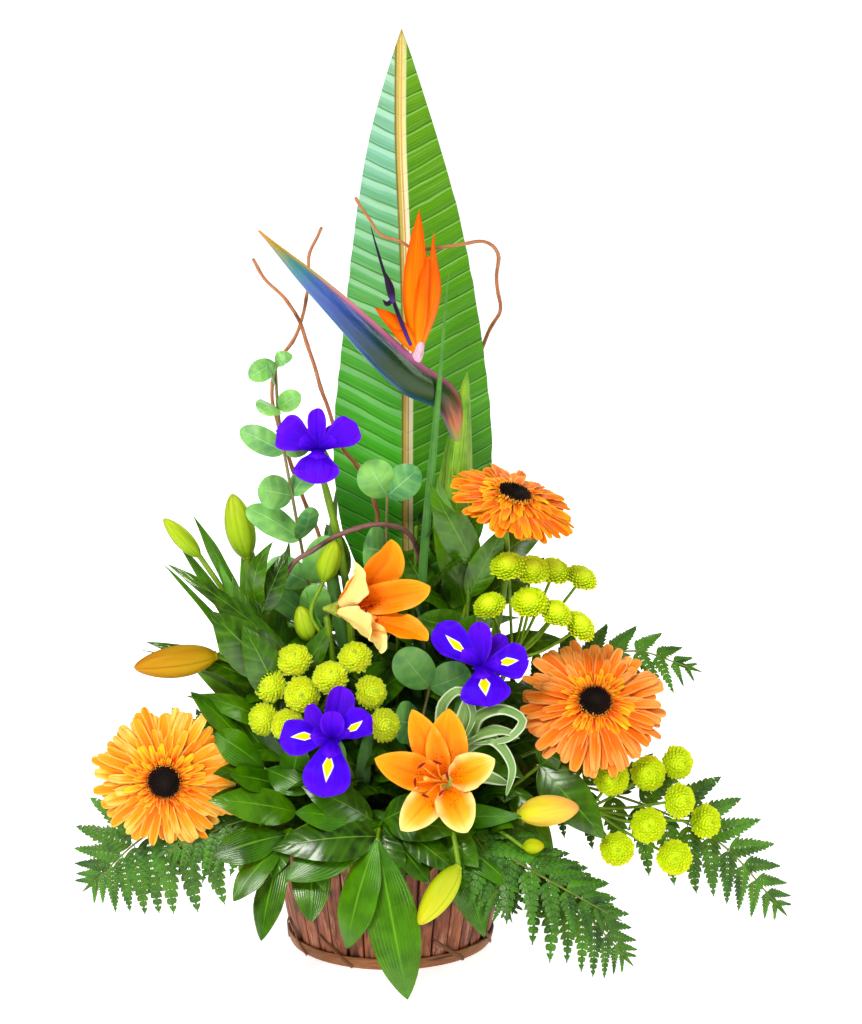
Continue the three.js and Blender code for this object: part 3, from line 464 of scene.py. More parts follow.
class Weave:
    """A material's node sheet with short ways to add and join nodes."""

    def __init__(self, name: str) -> None:
        """Start a material with a shader.

        Args:
            name: Name of the material.
        """
        self.material = bpy.data.materials.new(name)
        self.material.use_nodes = True
        self.tree = self.material.node_tree
        self.shader = self.tree.nodes["Principled BSDF"]

    def put(self, kind: str, **settings: object) -> bpy.types.Node:
        """Add a node and set its properties.

        Args:
            kind: Type of the node.
            settings: Properties to set on it.

        Returns:
            The new node.
        """
        node = self.tree.nodes.new(kind)
        for key, value in settings.items():
            setattr(node, key, value)
        return node

    def join(self, value: object, socket: Socket) -> None:
        """Link a socket to another, or set a plain value on it.

        Args:
            value: A socket, a number, a colour or a vector.
            socket: Input that takes it.
        """
        if isinstance(value, Socket):
            self.tree.links.new(value, socket)
        elif isinstance(value, tuple) and len(value) == 3 and socket.type == "RGBA":
            socket.default_value = (*value, 1.0)
        else:
            socket.default_value = value

    def sum(self, kind: str, *terms: object) -> Socket:
        """Return the result of a Math node on sockets or numbers.

        Args:
            kind: Operation of the node.
            terms: Sockets or numbers, in order.

        Returns:
            Socket of the result.
        """
        node = self.put("ShaderNodeMath", operation=kind)
        for index, term in enumerate(terms):
            self.join(term, node.inputs[index])
        return node.outputs[0]

    def times(self, a: object, b: object) -> Socket:
        """Return a times b."""
        return self.sum("MULTIPLY", a, b)

    def plus(self, a: object, b: object) -> Socket:
        """Return a plus b."""
        return self.sum("ADD", a, b)

    def less(self, a: object, b: object) -> Socket:
        """Return a less b."""
        return self.sum("SUBTRACT", a, b)

    def wave(self, a: object) -> Socket:
        """Return the sine of a."""
        return self.sum("SINE", a)

    def size(self, a: object) -> Socket:
        """Return a without its sign."""
        return self.sum("ABSOLUTE", a)

    def mix(self, share: object, a: object, b: object, kind: str = "MIX") -> Socket:
        """Return a colour between a and b.

        Args:
            share: Share of b, from 0 to 1.
            a: First colour or socket.
            b: Second colour or socket.
            kind: Blend type.

        Returns:
            Socket of the colour.
        """
        node = self.put("ShaderNodeMix", data_type="RGBA", blend_type=kind)
        self.join(share, node.inputs[0])
        self.join(a, node.inputs[6])
        self.join(b, node.inputs[7])
        return node.outputs[2]

    def span(self, value: object, low: float, high: float) -> Socket:
        """Return a share that eases from 0 at low to 1 at high.

        Args:
            value: Socket or number.
            low: Value that gives 0.
            high: Value that gives 1.

        Returns:
            Socket of the share.
        """
        node = self.put("ShaderNodeMapRange", interpolation_type="SMOOTHSTEP")
        self.join(value, node.inputs["Value"])
        node.inputs["From Min"].default_value = low
        node.inputs["From Max"].default_value = high
        return node.outputs[0]

    def ramp(self, value: object, stops: Sequence[tuple[float, int]]) -> Socket:
        """Return the colour at a value between stops, each a place and a display colour.

        Args:
            value: Socket or number from 0 to 1.
            stops: Places and display colours, lowest place first.

        Returns:
            Socket of the colour.
        """
        node = self.put("ShaderNodeValToRGB")
        elements = node.color_ramp.elements
        for element, (place, code) in zip(elements, (stops[0], stops[-1])):
            element.position, element.color = place, (*rgb(code), 1.0)
        for place, code in stops[1:-1]:
            elements.new(place).color = (*rgb(code), 1.0)
        self.join(value, node.inputs[0])
        return node.outputs[0]

    def mark(self, name: str) -> Socket:
        """Return the value of the mesh's own mark of that name."""
        return self.put("ShaderNodeAttribute", attribute_name=name).outputs["Fac"]

    def pattern(self) -> tuple[Socket, Socket]:
        """Return the places across and along from the mesh's own pattern map.

        Returns:
            Sockets of the place across and the place along.
        """
        split = self.put("ShaderNodeSeparateXYZ")
        self.join(self.put("ShaderNodeUVMap", uv_map="pattern").outputs[0], split.inputs[0])
        return split.outputs[0], split.outputs[1]

    def joined(self, x: object, y: object, z: object = 0.0) -> Socket:
        """Return a vector of three values.

        Args:
            x: First value.
            y: Second value.
            z: Third value.

        Returns:
            Socket of the vector.
        """
        node = self.put("ShaderNodeCombineXYZ")
        for value, socket in zip((x, y, z), node.inputs):
            self.join(value, socket)
        return node.outputs[0]

    def grain(self, scale: float, detail: float = 3.0, place: object = None,
              rough: float = 0.55) -> Socket:
        """Return noise at a scale, on object coordinates in metres unless a place is given.

        Args:
            scale: Scale of the noise.
            detail: Number of finer layers.
            place: Vector socket, or None for object coordinates.
            rough: Weight of the finer layers.

        Returns:
            Socket of the noise.
        """
        node = self.put("ShaderNodeTexNoise")
        node.inputs["Scale"].default_value = scale
        node.inputs["Detail"].default_value = detail
        node.inputs["Roughness"].default_value = rough
        if place is None:
            place = self.put("ShaderNodeTexCoord").outputs["Object"]
        self.join(place, node.inputs["Vector"])
        return node.outputs["Fac"]

    def finish(self, colour: object, roughness: float, height: object = None,
               relief: float = 0.3, depth: float = 0.001, **shader: float) -> bpy.types.Material:
        """Join colour and relief to the shader, set its plain values and return the material.

        Args:
            colour: Socket or plain colour.
            roughness: Roughness of the surface.
            height: Socket of the relief, or None.
            relief: Strength of the relief.
            depth: Depth of the relief in metres.
            shader: Plain values for the shader's own sockets.

        Returns:
            The finished material.
        """
        self.join(colour, self.shader.inputs["Base Color"])
        self.shader.inputs["Roughness"].default_value = roughness
        for key, value in shader.items():
            self.shader.inputs[key.replace("_", " ")].default_value = value
        if height is not None:
            bump = self.put("ShaderNodeBump")
            bump.inputs["Strength"].default_value = relief
            bump.inputs["Distance"].default_value = depth
            self.join(height, bump.inputs["Height"])
            self.join(bump.outputs[0], self.shader.inputs["Normal"])
        return self.material


class Veins(Enum):
    """How a leaf's veins run."""

    PARALLEL = "parallel"
    FEATHERED = "feathered"


@dataclass(frozen=True)
class LeafFinish:
    """Leaf surface: a mottled green with a pale rib, veins and a paler underside."""

    name: str
    dark: Colour
    light: Colour
    rib: Colour
    under: Colour
    veins: Veins = Veins.PARALLEL
    count: float = 9.0
    rib_width: float = 0.06
    rib_share: float = 0.7
    vein_share: float = 0.3
    gloss: float = 0.32
    wax: float = 0.0
    edge: Colour | None = None

    def make(self) -> bpy.types.Material:
        """Return the material.

        Returns:
            The finished material.
        """
        w = Weave(self.name)
        u, v = w.pattern()
        off = w.size(w.times(w.less(u, 0.5), 2.0))
        if self.veins is Veins.FEATHERED:
            phase = w.times(w.less(v, w.times(off, 0.16)), self.count * TURN)
        else:
            phase = w.times(off, self.count * TURN)
        vein = w.sum("POWER", w.size(w.wave(w.times(phase, 0.5))), 6.0)
        tone = w.plus(w.times(w.mark("tint"), 0.55),
                      w.times(w.span(w.grain(70, 4), 0.3, 0.7), 0.45))
        colour = w.mix(tone, self.dark, self.light)
        if self.vein_share > 0:
            colour = w.mix(w.times(vein, self.vein_share), colour, self.light)
        rib = w.less(1.0, w.span(off, self.rib_width * 0.3, self.rib_width))
        fade = w.less(1.0, w.span(v, 0.55, 1.0))
        colour = w.mix(w.times(w.times(rib, fade), self.rib_share), colour, self.rib)
        if self.edge is not None:
            colour = w.mix(w.span(off, 0.62, 0.78), colour, self.edge)
        colour = w.mix(w.times(w.mark("under"), 0.7), colour, self.under)
        height = w.plus(w.times(w.plus(vein, rib), -0.5),
                        w.times(w.grain(900, 2), 0.16))
        return w.finish(colour, self.gloss, height, 0.35, 0.0007, Sheen_Weight=self.wax * 0.3,
                        Specular_IOR_Level=0.62, Subsurface_Weight=0.06, Subsurface_Scale=0.004)


@dataclass(frozen=True)
class StemFinish:
    """Stem or bud stalk: fine lines along it over a mottled green."""

    name: str
    dark: Colour
    light: Colour
    gloss: float = 0.42
    lines: float = 14.0

    def make(self) -> bpy.types.Material:
        """Return the material.

        Returns:
            The finished material.
        """
        w = Weave(self.name)
        u, v = w.pattern()
        place = w.joined(w.times(u, self.lines), w.times(v, 3.0))
        streak = w.grain(2.0, 3, place)
        colour = w.mix(w.span(w.plus(w.times(streak, 0.6),
                                     w.times(w.grain(60, 3), 0.4)), 0.3, 0.7),
                       self.dark, self.light)
        return w.finish(colour, self.gloss, streak, 0.4, 0.0005)


@dataclass(frozen=True)
class PetalFinish:
    """Petal surface: colours along its length, margins and streaks; a rib, signal or speckles if given.

    The stops hold the colours from the foot to the tip, and the mark tint moves them by the spread.
    """

    name: str
    stops: tuple[tuple[float, int], ...]
    margin: Colour
    margin_share: float = 0.5
    margin_start: float = 0.6
    streaks: float = 26.0
    streak_share: float = 0.35
    streak_colour: Colour = (0.8, 0.3, 0.02)
    under: Colour | None = None
    rib: Colour | None = None
    rib_width: float = 0.16
    rib_end: float = 0.95
    rib_share: float = 0.75
    signal: Colour | None = None
    speckle: Colour | None = None
    gloss: float = 0.5
    glow: float = 0.08
    shine: float = 0.22
    spread: float = 0.12
    signal_centre: float = 0.47
    signal_squash: float = 0.95

    def make(self) -> bpy.types.Material:
        """Return the material.

        Returns:
            The finished material.
        """
        w = Weave(self.name)
        u, v = w.pattern()
        off = w.size(w.times(w.less(u, 0.5), 2.0))
        shifted = w.plus(v, w.times(w.less(w.mark("tint"), 0.5), self.spread))
        place = w.joined(w.times(u, self.streaks), w.times(v, 1.6),
                         w.times(w.mark("tint"), 30.0))
        streak = w.span(w.grain(1.0, 3, place), 0.38, 0.68)
        colour = w.mix(w.times(streak, self.streak_share), w.ramp(shifted, self.stops),
                       self.streak_colour)
        edge = w.times(w.span(off, self.margin_start, 1.0), self.margin_share)
        colour = w.mix(edge, colour, self.margin)
        height = w.times(streak, -0.6)
        if self.rib is not None:
            rib = w.less(1.0, w.span(off, self.rib_width * 0.2, self.rib_width))
            rib = w.times(rib, w.less(1.0, w.span(v, self.rib_end * 0.4, self.rib_end)))
            colour = w.mix(w.times(rib, self.rib_share), colour, self.rib)
            height = w.less(height, rib)
        if self.signal is not None:
            away = w.plus(off, w.size(w.times(w.less(v, self.signal_centre), self.signal_squash)))
            for colour_there, low, high in ((rgb(0xF4F0E0), 0.25, 0.29), (self.signal, 0.19, 0.23)):
                patch = w.less(1.0, w.span(away, low, high))
                colour = w.mix(patch, colour, colour_there)
        if self.speckle is not None:
            dots = w.put("ShaderNodeTexVoronoi")
            dots.inputs["Scale"].default_value = 420.0
            w.join(w.put("ShaderNodeTexCoord").outputs["Object"], dots.inputs["Vector"])
            dot = w.less(1.0, w.span(dots.outputs["Distance"], 0.16, 0.3))
            where = w.times(w.less(1.0, w.span(v, 0.3, 0.5)),
                            w.less(1.0, w.span(off, 0.4, 0.8)))
            colour = w.mix(w.times(w.times(dot, where), 0.8), colour, self.speckle)
        if self.under is not None:
            colour = w.mix(w.times(w.mark("under"), 0.8), colour, self.under)
        return w.finish(colour, self.gloss, height, 0.3, 0.0006, Specular_IOR_Level=self.shine,
                        Subsurface_Weight=self.glow, Subsurface_Scale=0.004)


@dataclass(frozen=True)
class WoodFinish:
    """Bark or peeled wood: long streaks along one direction, dark cracks and worn lighter ridges."""

    name: str
    dark: Colour
    light: Colour
    crack: Colour
    stretch: Point = (1.0, 1.0, 0.12)
    scale: float = 260.0
    gloss: float = 0.7
    mapped: bool = False
    pale: Colour | None = None

    def make(self) -> bpy.types.Material:
        """Return the material.

        Returns:
            The finished material.
        """
        w = Weave(self.name)
        if self.mapped:
            u, v = w.pattern()
            place = w.joined(w.times(u, self.stretch[0]), w.times(v, self.stretch[1]),
                             w.mark("tint"))
        else:
            mapping = w.put("ShaderNodeMapping")
            mapping.inputs["Scale"].default_value = self.stretch
            w.join(w.put("ShaderNodeTexCoord").outputs["Object"], mapping.inputs["Vector"])
            place = mapping.outputs[0]
        fine = w.grain(self.scale, 5, place, 0.65)
        broad = w.grain(self.scale * 0.22, 3, place)
        tone = w.plus(w.times(w.span(fine, 0.3, 0.7), 0.5),
                      w.times(w.mark("tint"), 0.5))
        colour = w.mix(tone, self.dark, self.light)
        if self.pale is not None:
            worn = w.times(w.span(broad, 0.5, 0.66), w.span(fine, 0.42, 0.6))
            colour = w.mix(w.times(worn, 0.6), colour, self.pale)
        crack = w.less(1.0, w.span(broad, 0.32, 0.44))
        crack = w.sum("MAXIMUM", crack, w.mark("under"))
        colour = w.mix(w.times(crack, 0.85), colour, self.crack)
        height = w.less(fine, w.times(crack, 0.8))
        return w.finish(colour, self.gloss, height, 0.6, 0.0012)


@dataclass(frozen=True)
class GrainFinish:
    """Matt, fine-grained surface in two tones: foam cells, pollen, anthers or a plastic sheet."""

    name: str
    dark: Colour
    light: Colour
    scale: float = 900.0
    gloss: float = 0.9
    relief: float = 0.5
    low: float = 0.35
    high: float = 0.65

    def make(self) -> bpy.types.Material:
        """Return the material.

        Returns:
            The finished material.
        """
        w = Weave(self.name)
        grain = w.grain(self.scale, 4)
        tone = w.plus(w.times(w.span(grain, self.low, self.high), 0.6),
                      w.times(w.mark("tint"), 0.4))
        return w.finish(w.mix(tone, self.dark, self.light), self.gloss, grain, self.relief, 0.0008)


@dataclass(frozen=True)
class GreatLeafFinish:
    """Tall blade: an ochre and white midrib, its ochre left side partly painted shade of its groove; pleats
    that rise outward, with painted shade in their creases and on one side, and painted highlights beside the
    creases and on the other side; a painted bluish sheen on the left half, strongest top left.

    The mark tint holds the blade's half width at each station, as a share of full_half.
    """

    name: str = "great_leaf_blade"
    # Left and right colours differ partly by painted light: the left half's pale bluish greens towards the
    # top are painted sheen.
    left: tuple[tuple[float, int], ...] = (
        (0.0, 0x3C9A08), (0.3, 0x4CB41C), (0.5, 0x58A840), (0.62, 0x64AC68), (0.8, 0x7CB498), (1.0, 0x8AB48A))
    right: tuple[tuple[float, int], ...] = (
        (0.0, 0x3C7A00), (0.4, 0x56A01C), (0.6, 0x549400), (0.85, 0x5A8C00), (1.0, 0x6A9A10))
    full_half: float = 64.0
    length: float = 454.0
    rise: float = 0.5
    period: float = 14.0
    rib: float = -0.06
    rib_half: float = 4.1
    thread_period: float = 2.3
    stray: float = 7.0

    def make(self) -> bpy.types.Material:
        """Return the material.

        Returns:
            The finished material.
        """
        w = Weave(self.name)
        u, v = w.pattern()
        half = w.times(w.mark("tint"), self.full_half)
        across = w.less(w.times(w.less(u, 0.5), 2.0), self.rib)
        reach = w.times(across, half)
        off = w.size(reach)
        along = w.less(w.times(v, self.length), w.times(off, self.rise))
        stray = w.grain(1.0, 2, w.joined(w.times(off, 0.02), w.times(along, 0.05)))
        place = w.plus(along, w.times(stray, self.stray))
        pleat = w.size(w.wave(w.times(place, math.pi / self.period)))
        fine = w.size(w.wave(w.times(place, math.pi / self.thread_period)))
        streak = w.grain(1.0, 4, w.joined(w.times(reach, 0.012), w.times(along, 0.3)))
        # Painted sheen: the left half takes the paler, bluish left colours.
        on_left = w.less(1.0, w.span(reach, -0.5, 0.5))
        colour = w.mix(on_left, w.ramp(v, self.right), w.ramp(v, self.left))
        colour = w.mix(w.times(w.span(streak, 0.55, 0.8), 0.3), colour, rgb(0xA0D088))
        shade = w.times(w.less(1.0, w.span(streak, 0.28, 0.48)), 0.3)
        colour = w.mix(shade, colour, rgb(0x2A6800))
        # Painted shade: dark green on one side of each pleat, where its wave is high.
        band = w.wave(w.times(place, 2 * math.pi / self.period))
        colour = w.mix(w.times(w.span(band, 0.1, 1.0), 0.2), colour, rgb(0x1E5C04))
        # Painted highlight: pale bluish white on the other side of each pleat, on the upper left half.
        glint = w.times(w.span(w.times(band, -1.0), 0.4, 1.0), w.span(v, 0.1, 0.6))
        colour = w.mix(w.times(w.times(glint, on_left), 0.3), colour, rgb(0xC8E4D8))
        # Painted highlight: a thin pale line just beside each pleat's crease.
        painted_highlight_wave = w.size(w.wave(w.times(w.plus(place, 1.6), math.pi / self.period)))
        line = w.less(1.0, w.span(painted_highlight_wave, 0.04, 0.2))
        colour = w.mix(w.times(line, 0.3), colour, rgb(0xB8E090))
        # Painted shade: dark green in each pleat's crease; the same crease also makes the bump.
        crease = w.less(1.0, w.span(pleat, 0.04, 0.18))
        colour = w.mix(w.times(crease, 0.6), colour, rgb(0x145004))
        thread = w.less(1.0, w.span(fine, 0.0, 0.35))
        colour = w.mix(w.times(thread, 0.18), colour, rgb(0xA4D070))
        share = w.sum("DIVIDE", reach, self.rib_half)
        inside = w.less(1.0, w.span(w.size(share), 0.85, 1.05))
        # The midrib's ochre left side is partly painted shade of its groove; its right side is pale.
        rib = w.mix(w.span(share, -0.35, -0.1), rgb(0xB8A250), w.ramp(
            v, ((0.0, 0xD8CC90), (0.35, 0xE4DCB8), (0.6, 0xECE4CC), (0.8, 0xDCD49C), (1.0, 0xC8C47C))))
        rib = w.mix(w.less(1.0, w.span(w.size(w.less(share, 0.05)), 0.06, 0.24)),
                    rib, w.ramp(v, ((0.0, 0xA8842C), (0.5, 0xC0983C), (1.0, 0xC8A050))))
        colour = w.mix(w.less(1.0, w.span(w.size(w.plus(share, 1.0)), 0.05, 0.3)),
                       w.mix(inside, colour, rib), rgb(0x7A6A24))
        height = w.plus(w.times(thread, -0.35), w.times(crease, -0.9))
        return w.finish(colour, 0.34, height, 0.5, 0.0008, Specular_IOR_Level=0.3)


@dataclass(frozen=True)
class SpatheFinish:
    """Boat-shaped spathe: gold tip, salmon upper edge, blue flank and dark green keel, with a bluish line
    along the keel that is partly painted reflection.
    """

    name: str = "spathe_skin"

    def make(self) -> bpy.types.Material:
        """Return the material.

        Returns:
            The finished material.
        """
        w = Weave(self.name)
        u, v = w.pattern()
        upper = w.plus(w.times(w.wave(w.times(u, 2 * math.pi)), 0.5), 0.5)
        grain = w.grain(1.0, 4, w.joined(w.times(u, 22.0), w.times(v, 9.0)))
        stray = w.times(w.less(grain, 0.5), 0.2)
        flank = w.ramp(w.plus(v, stray), (
            (0.0, 0x7EA030), (0.06, 0xB86840), (0.12, 0x6E4420), (0.2, 0x244406), (0.4, 0x123408),
            (0.5, 0x1A3C50), (0.62, 0x2C4688), (0.74, 0x405C9A), (0.84, 0x3E8078), (0.93, 0x9A8A2C),
            (1.0, 0xD0883C)))
        edge = w.plus(upper, w.times(stray, 0.6))
        rim = w.times(w.span(edge, 0.72, 0.95), w.span(v, 0.03, 0.2))
        colour = w.mix(w.times(rim, 0.9), flank, w.ramp(v, (
            (0.0, 0xA85A40), (0.4, 0xC070A8), (0.62, 0xE89098), (0.78, 0xC8A830), (1.0, 0xE0A030))))
        # Bluish line along the lower edge: partly the spathe's own blue, partly painted reflection.
        keel = w.less(1.0, w.span(upper, 0.02, 0.2))
        colour = w.mix(w.times(keel, 0.4), colour, rgb(0x3C78B0))
        return w.finish(colour, 0.22, grain, 0.5, 0.001, Specular_IOR_Level=0.6)


def rgb(code: int) -> Colour:
    """Return the linear colour of a display colour written as red, green and blue bytes."""
    parts = [((code >> shift) & 255) / 255 for shift in (16, 8, 0)]
    return tuple(c / 12.92 if c <= 0.04045 else ((c + 0.055) / 1.055) ** 2.4 for c in parts)


# ---- Shared makers of leaves and stems ----


@dataclass(frozen=True)
class Leaf:
    """One leaf: its foot on a stem or at a point, its tip, width, face and the height of its arch."""

    foot: float | Point
    tip: Point
    width: float
    face: Point = FRONT
    arch: float = 5.0
    curl: float = 0.0


def add_leaf(
    shell: Shell, foot: Array, leaf: Leaf, outline: Outline, keel: float = 0.14,
    wave: float = 0.8, tint: float = 0.5, finish: int = 0, rows: int = 22, across: int = 9,
) -> None:
    """Add a leaf: a parabola from foot to tip, folded along its rib, with a waved margin.

    The lift is minus keel times the half width times the place across to the power 1.3, plus a
    sine along the length that grows with the square of the place across.

    Args:
        shell: Where the leaf is gathered.
        foot: Point where the leaf starts.
        leaf: Tip, width, face, arch and curl.
        outline: Width along the leaf.
        keel: Fold, as a share of the half width.
        wave: Height of the margin's wave in millimetres.
        tint: Colour share, which also sets the wave's start.
        finish: Index of the material.
        rows: Stations along the leaf.
        across: Points across the leaf.
    """
    tip, face = floats(leaf.tip), floats(leaf.face)
    middle = (foot + tip) / 2 + unit(face) * leaf.arch
    t = eased(rows)
    line = bowed(foot[None], middle[None], tip[None], t)
    line[..., 2] += leaf.curl * t**3
    half = outline.half(t, leaf.width)

    def lift(s: Array, share: Array) -> Array:
        """Return the fold, the rib's groove and the margin's wave."""
        fold = -keel * half[:, None] * np.abs(s) ** 1.3
        groove = -0.35 * np.exp(-((s / 0.14) ** 2))
        ripple = wave * s**2 * np.sin(share * 15 + tint * 40 + s * 1.5) * np.sin(np.pi * share)
        return fold + groove + ripple

    shell.ribbons(line, half, leaf.face, across, lift, 0.6, np.array([tint]), finish, t)


@dataclass
class LeafyStem:
    """A stem that stands in the foam and carries leaves of one kind."""

    name: str
    path: list[Point]
    leaves: list[Leaf]
    leaf_finish: str
    radius: float = 1.7
    stem_finish: str = "stem_green"
    outline: Outline = LANCE
    keel: float = 0.14
    wave: float = 0.8
    seed: int = 1
    slot: str = "leaf_glossy"
    fills: bool = False

    def build(self, finishes: Finishes) -> None:
        """Build the stem and its leaves as one piece; a filler replaces no node.

        Args:
            finishes: Materials by name.
        """
        shell = Shell()
        draw = np.random.default_rng(self.seed)
        line = smooth_line(self.path, even(26))
        shell.tube(line, self.radius * (1 - 0.25 * even(26)), 8, 0.5, 1)
        for leaf in self.leaves:
            foot = (floats(leaf.foot) if isinstance(leaf.foot, tuple)
                    else smooth_line(self.path, np.array([leaf.foot]))[0])
            add_leaf(shell, foot, leaf, self.outline, self.keel, self.wave, float(draw.random()))
        shell.piece(self.name, [finishes[self.leaf_finish], finishes[self.stem_finish]],
                    () if self.fills else [self.name], self.slot)


# ---- Basket ----


@dataclass
class Basket:
    """Flared basket of bark strips, with two hoops, diagonal ties, a liner and a block of foam."""

    foot: float = 74.5
    rim: float = 95.0
    height: float = 100.0
    wall: float = 4.5
    strips: int = 38
    hoop_height: float = 9.0
    hoop_depth: float = 2.2
    ties: int = 11

    def flare(self, z: Array | float) -> Array | float:
        """Return the wall's radius at a height, over its radius at the foot."""
        return 1 + (self.rim / self.foot - 1) * z / self.height

    def build_wall(self, finishes: Finishes) -> None:
        """Build the strips: radius plus a bulge on each strip, less random cracks along it.

        Args:
            finishes: Materials by name.
        """
        shell = Shell()
        around = self.strips * 18
        turn = 2 * np.pi * np.arange(around) / around
        draw = np.random.default_rng(31)
        place = turn / (2 * np.pi) * self.strips
        number = np.floor(place).astype(int)
        inside = place - number
        high = draw.random(self.strips)[number]
        tone = draw.random(self.strips)[number]
        bulge = 1 - np.abs(2 * inside - 1) ** 14
        z = np.concatenate([np.linspace(1, 0, 34), np.linspace(0, 1, 8)]) * self.height
        outer = np.concatenate([np.ones(34), np.zeros(8)])
        crack = value_noise(place[:, None] * 2.3, z[None] / 60, 5)
        crack = np.clip(0.40 - crack, 0, 1) * 3.4
        slit = np.clip(0.34 - value_noise(place[:, None] * 6.1, z[None] / 38, 15), 0, 1) * 3.0
        crack = np.maximum(crack, slit * 0.7)
        fibre = value_noise(place[:, None] * 8.0, z[None] / 14, 8) - 0.5
        relief = -0.5 + bulge[:, None] * (1.0 + 0.7 * high[:, None]) - crack * 0.9 + fibre * 0.6
        radius = np.where(outer[None] > 0, (self.foot + relief) * self.flare(z)[None],
                          (self.foot - self.wall) * self.flare(z)[None])
        top = z[None] - (z[None] > self.height - 0.1) * (1.6 * high[:, None])
        ring = np.stack([radius * np.cos(turn)[:, None], radius * np.sin(turn)[:, None],
                         np.broadcast_to(top, radius.shape)], axis=-1)
        gap = np.clip(1.0 - 1.3 * bulge[:, None] ** 0.35, 0, 1) * 0.9 + crack * 0.75
        shell.rings(ring[None], z / self.height, turn / TURN,
                    np.broadcast_to(tone[:, None], radius.shape)[None],
                    np.clip(np.broadcast_to(gap, radius.shape)[None], 0, 1), 0, True)
        shell.piece("basket_wall_strips", [finishes["bark"]], ["basket_wall"], "bark")

    def build_hoop(self, name: str, bottom: float, ties: int, seed: int,
                   finishes: Finishes) -> None:
        """Build a flat hoop with rounded edges and a slight wave, and its diagonal ties.

        Args:
            name: Name of the hoop.
            bottom: Height of its lower edge.
            ties: Number of ties round it.
            seed: Seed of its irregularities.
            finishes: Materials by name.
        """
        shell = Shell()
        around = 240
        turn = 2 * np.pi * np.arange(around) / around
        section = np.array([(0.1, 1.0), (0.75, 0.99), (1.0, 0.9), (1.06, 0.62), (1.06, 0.36), (1.0, 0.1),
                            (0.75, 0.01), (0.1, 0.0), (0.0, 0.3), (0.0, 0.7)])
        z = bottom + self.hoop_height * section[:, 1]
        seat = (self.foot + 1.1) * self.flare(z)
        wave = value_noise(turn * 5, turn * 0 + seed, seed) - 0.5
        radius = seat[None] + self.hoop_depth * section[:, 0][None] + 0.5 * wave[:, None]
        height = z[None] + (0.5 * wave[:, None] if bottom > 50 else 0.0)
        ring = np.stack([radius * np.cos(turn)[:, None], radius * np.sin(turn)[:, None],
                         np.broadcast_to(height, radius.shape)], axis=-1)
        shell.rings(ring[None], section[:, 1], turn / TURN, 0.5, 0.0, 0, True)
        for i in range(ties):
            turn = math.radians(-55.4) + 2 * math.pi * i / ties
            share = even(16)
            height = bottom + 0.8 + (self.hoop_height + 12) * (1 - share)
            angle = turn + 0.36 * (share - 0.5)
            over = np.clip((bottom + self.hoop_height + 5 - height) / 5, 0, 1)
            size = (self.foot + 1.3) * self.flare(height) + over * (self.hoop_depth + 0.2)
            line = np.stack([size * np.cos(angle), size * np.sin(angle), height], axis=-1)
            face = (math.cos(turn), math.sin(turn), 0.0)
            shell.ribbons(line[None], np.full(16, 1.6), face, 5, lambda s, k: 0.9 - 0.9 * s**4, 1.0,
                          np.array([0.5]), 1, share)
        shell.piece(name + "_wood", [finishes["hoop_wood"], finishes["tie_wood"]], [name], "hoop_wood")

    def build_inside(self, finishes: Finishes) -> None:
        """Build the crumpled liner and the foam block, whose skin is a profile with value noise.

        Args:
            finishes: Materials by name.
        """
        liner = Shell()
        around = 220
        turn = 2 * np.pi * np.arange(around) / around
        z = np.concatenate([np.linspace(97.5, 8, 14), np.linspace(8, 97.5, 14)])
        side = np.concatenate([np.zeros(14), np.ones(14)])
        crumple = (value_noise(turn[:, None] * 11, z[None] / 14, 3) - 0.5) * 2.0
        edge = np.clip((z - 84) / 14, 0, 1)
        radius = (self.foot - self.wall) * self.flare(z)[None] - 1.3 - 0.9 * side[None] + crumple * 0.7
        radius = radius - edge[None] * 1.5 * (1 + crumple)
        height = z[None] + edge[None] * 3.5 * (value_noise(turn[:, None] * 7, 0 * z[None], 9) - 0.6)
        ring = np.stack([radius * np.cos(turn)[:, None], radius * np.sin(turn)[:, None], height], axis=-1)
        liner.rings(ring[None], z / 97, turn / TURN, 0.5, 0.0, 0, True)
        liner.piece("liner_sheet_folded", [finishes["liner_sheet"]], ["liner"], "liner_sheet")
        foam = Shell()
        profile = [(0.02, 9.5), (30, 9.5), (66, 9.8), (68, 12)]
        profile += [((self.foot - self.wall) * self.flare(h) - 5, h) for h in (30, 50, 70, 82)]
        profile += [(81.5, 86), (78, 90), (70, 92.5), (55, 93.5), (38, 94), (20, 94.5), (0.02, 94.5)]
        lump = lambda a, t: 1 + 0.02 * (value_noise(a * 9, t * 24, 12) - 0.5)
        foam.turned(profile, (0, 0, 0), (0, 0, 1), 96, 0.5, 0, lump)
        foam.piece("foam_block", [finishes["wet_foam"]], ["foam"], "wet_foam")

    def build(self, frame: dict, finishes: Finishes) -> None:
        """Build every part of the basket and dress its floor.

        Args:
            frame: What the loaded frame holds.
            finishes: Materials by name.
        """
        self.build_wall(finishes)
        self.build_hoop("basket_bottom_hoop", 0.2, self.ties, 4, finishes)
        self.build_hoop("basket_top_hoop", self.height - self.hoop_height - 0.6, 0, 6, finishes)
        self.build_inside(finishes)
        floor = frame["nodes"]["basket_floor"]
        floor.data.materials.clear()
        floor.data.materials.append(finishes["bark"])


# ---- Great leaf, bird of paradise and twigs ----


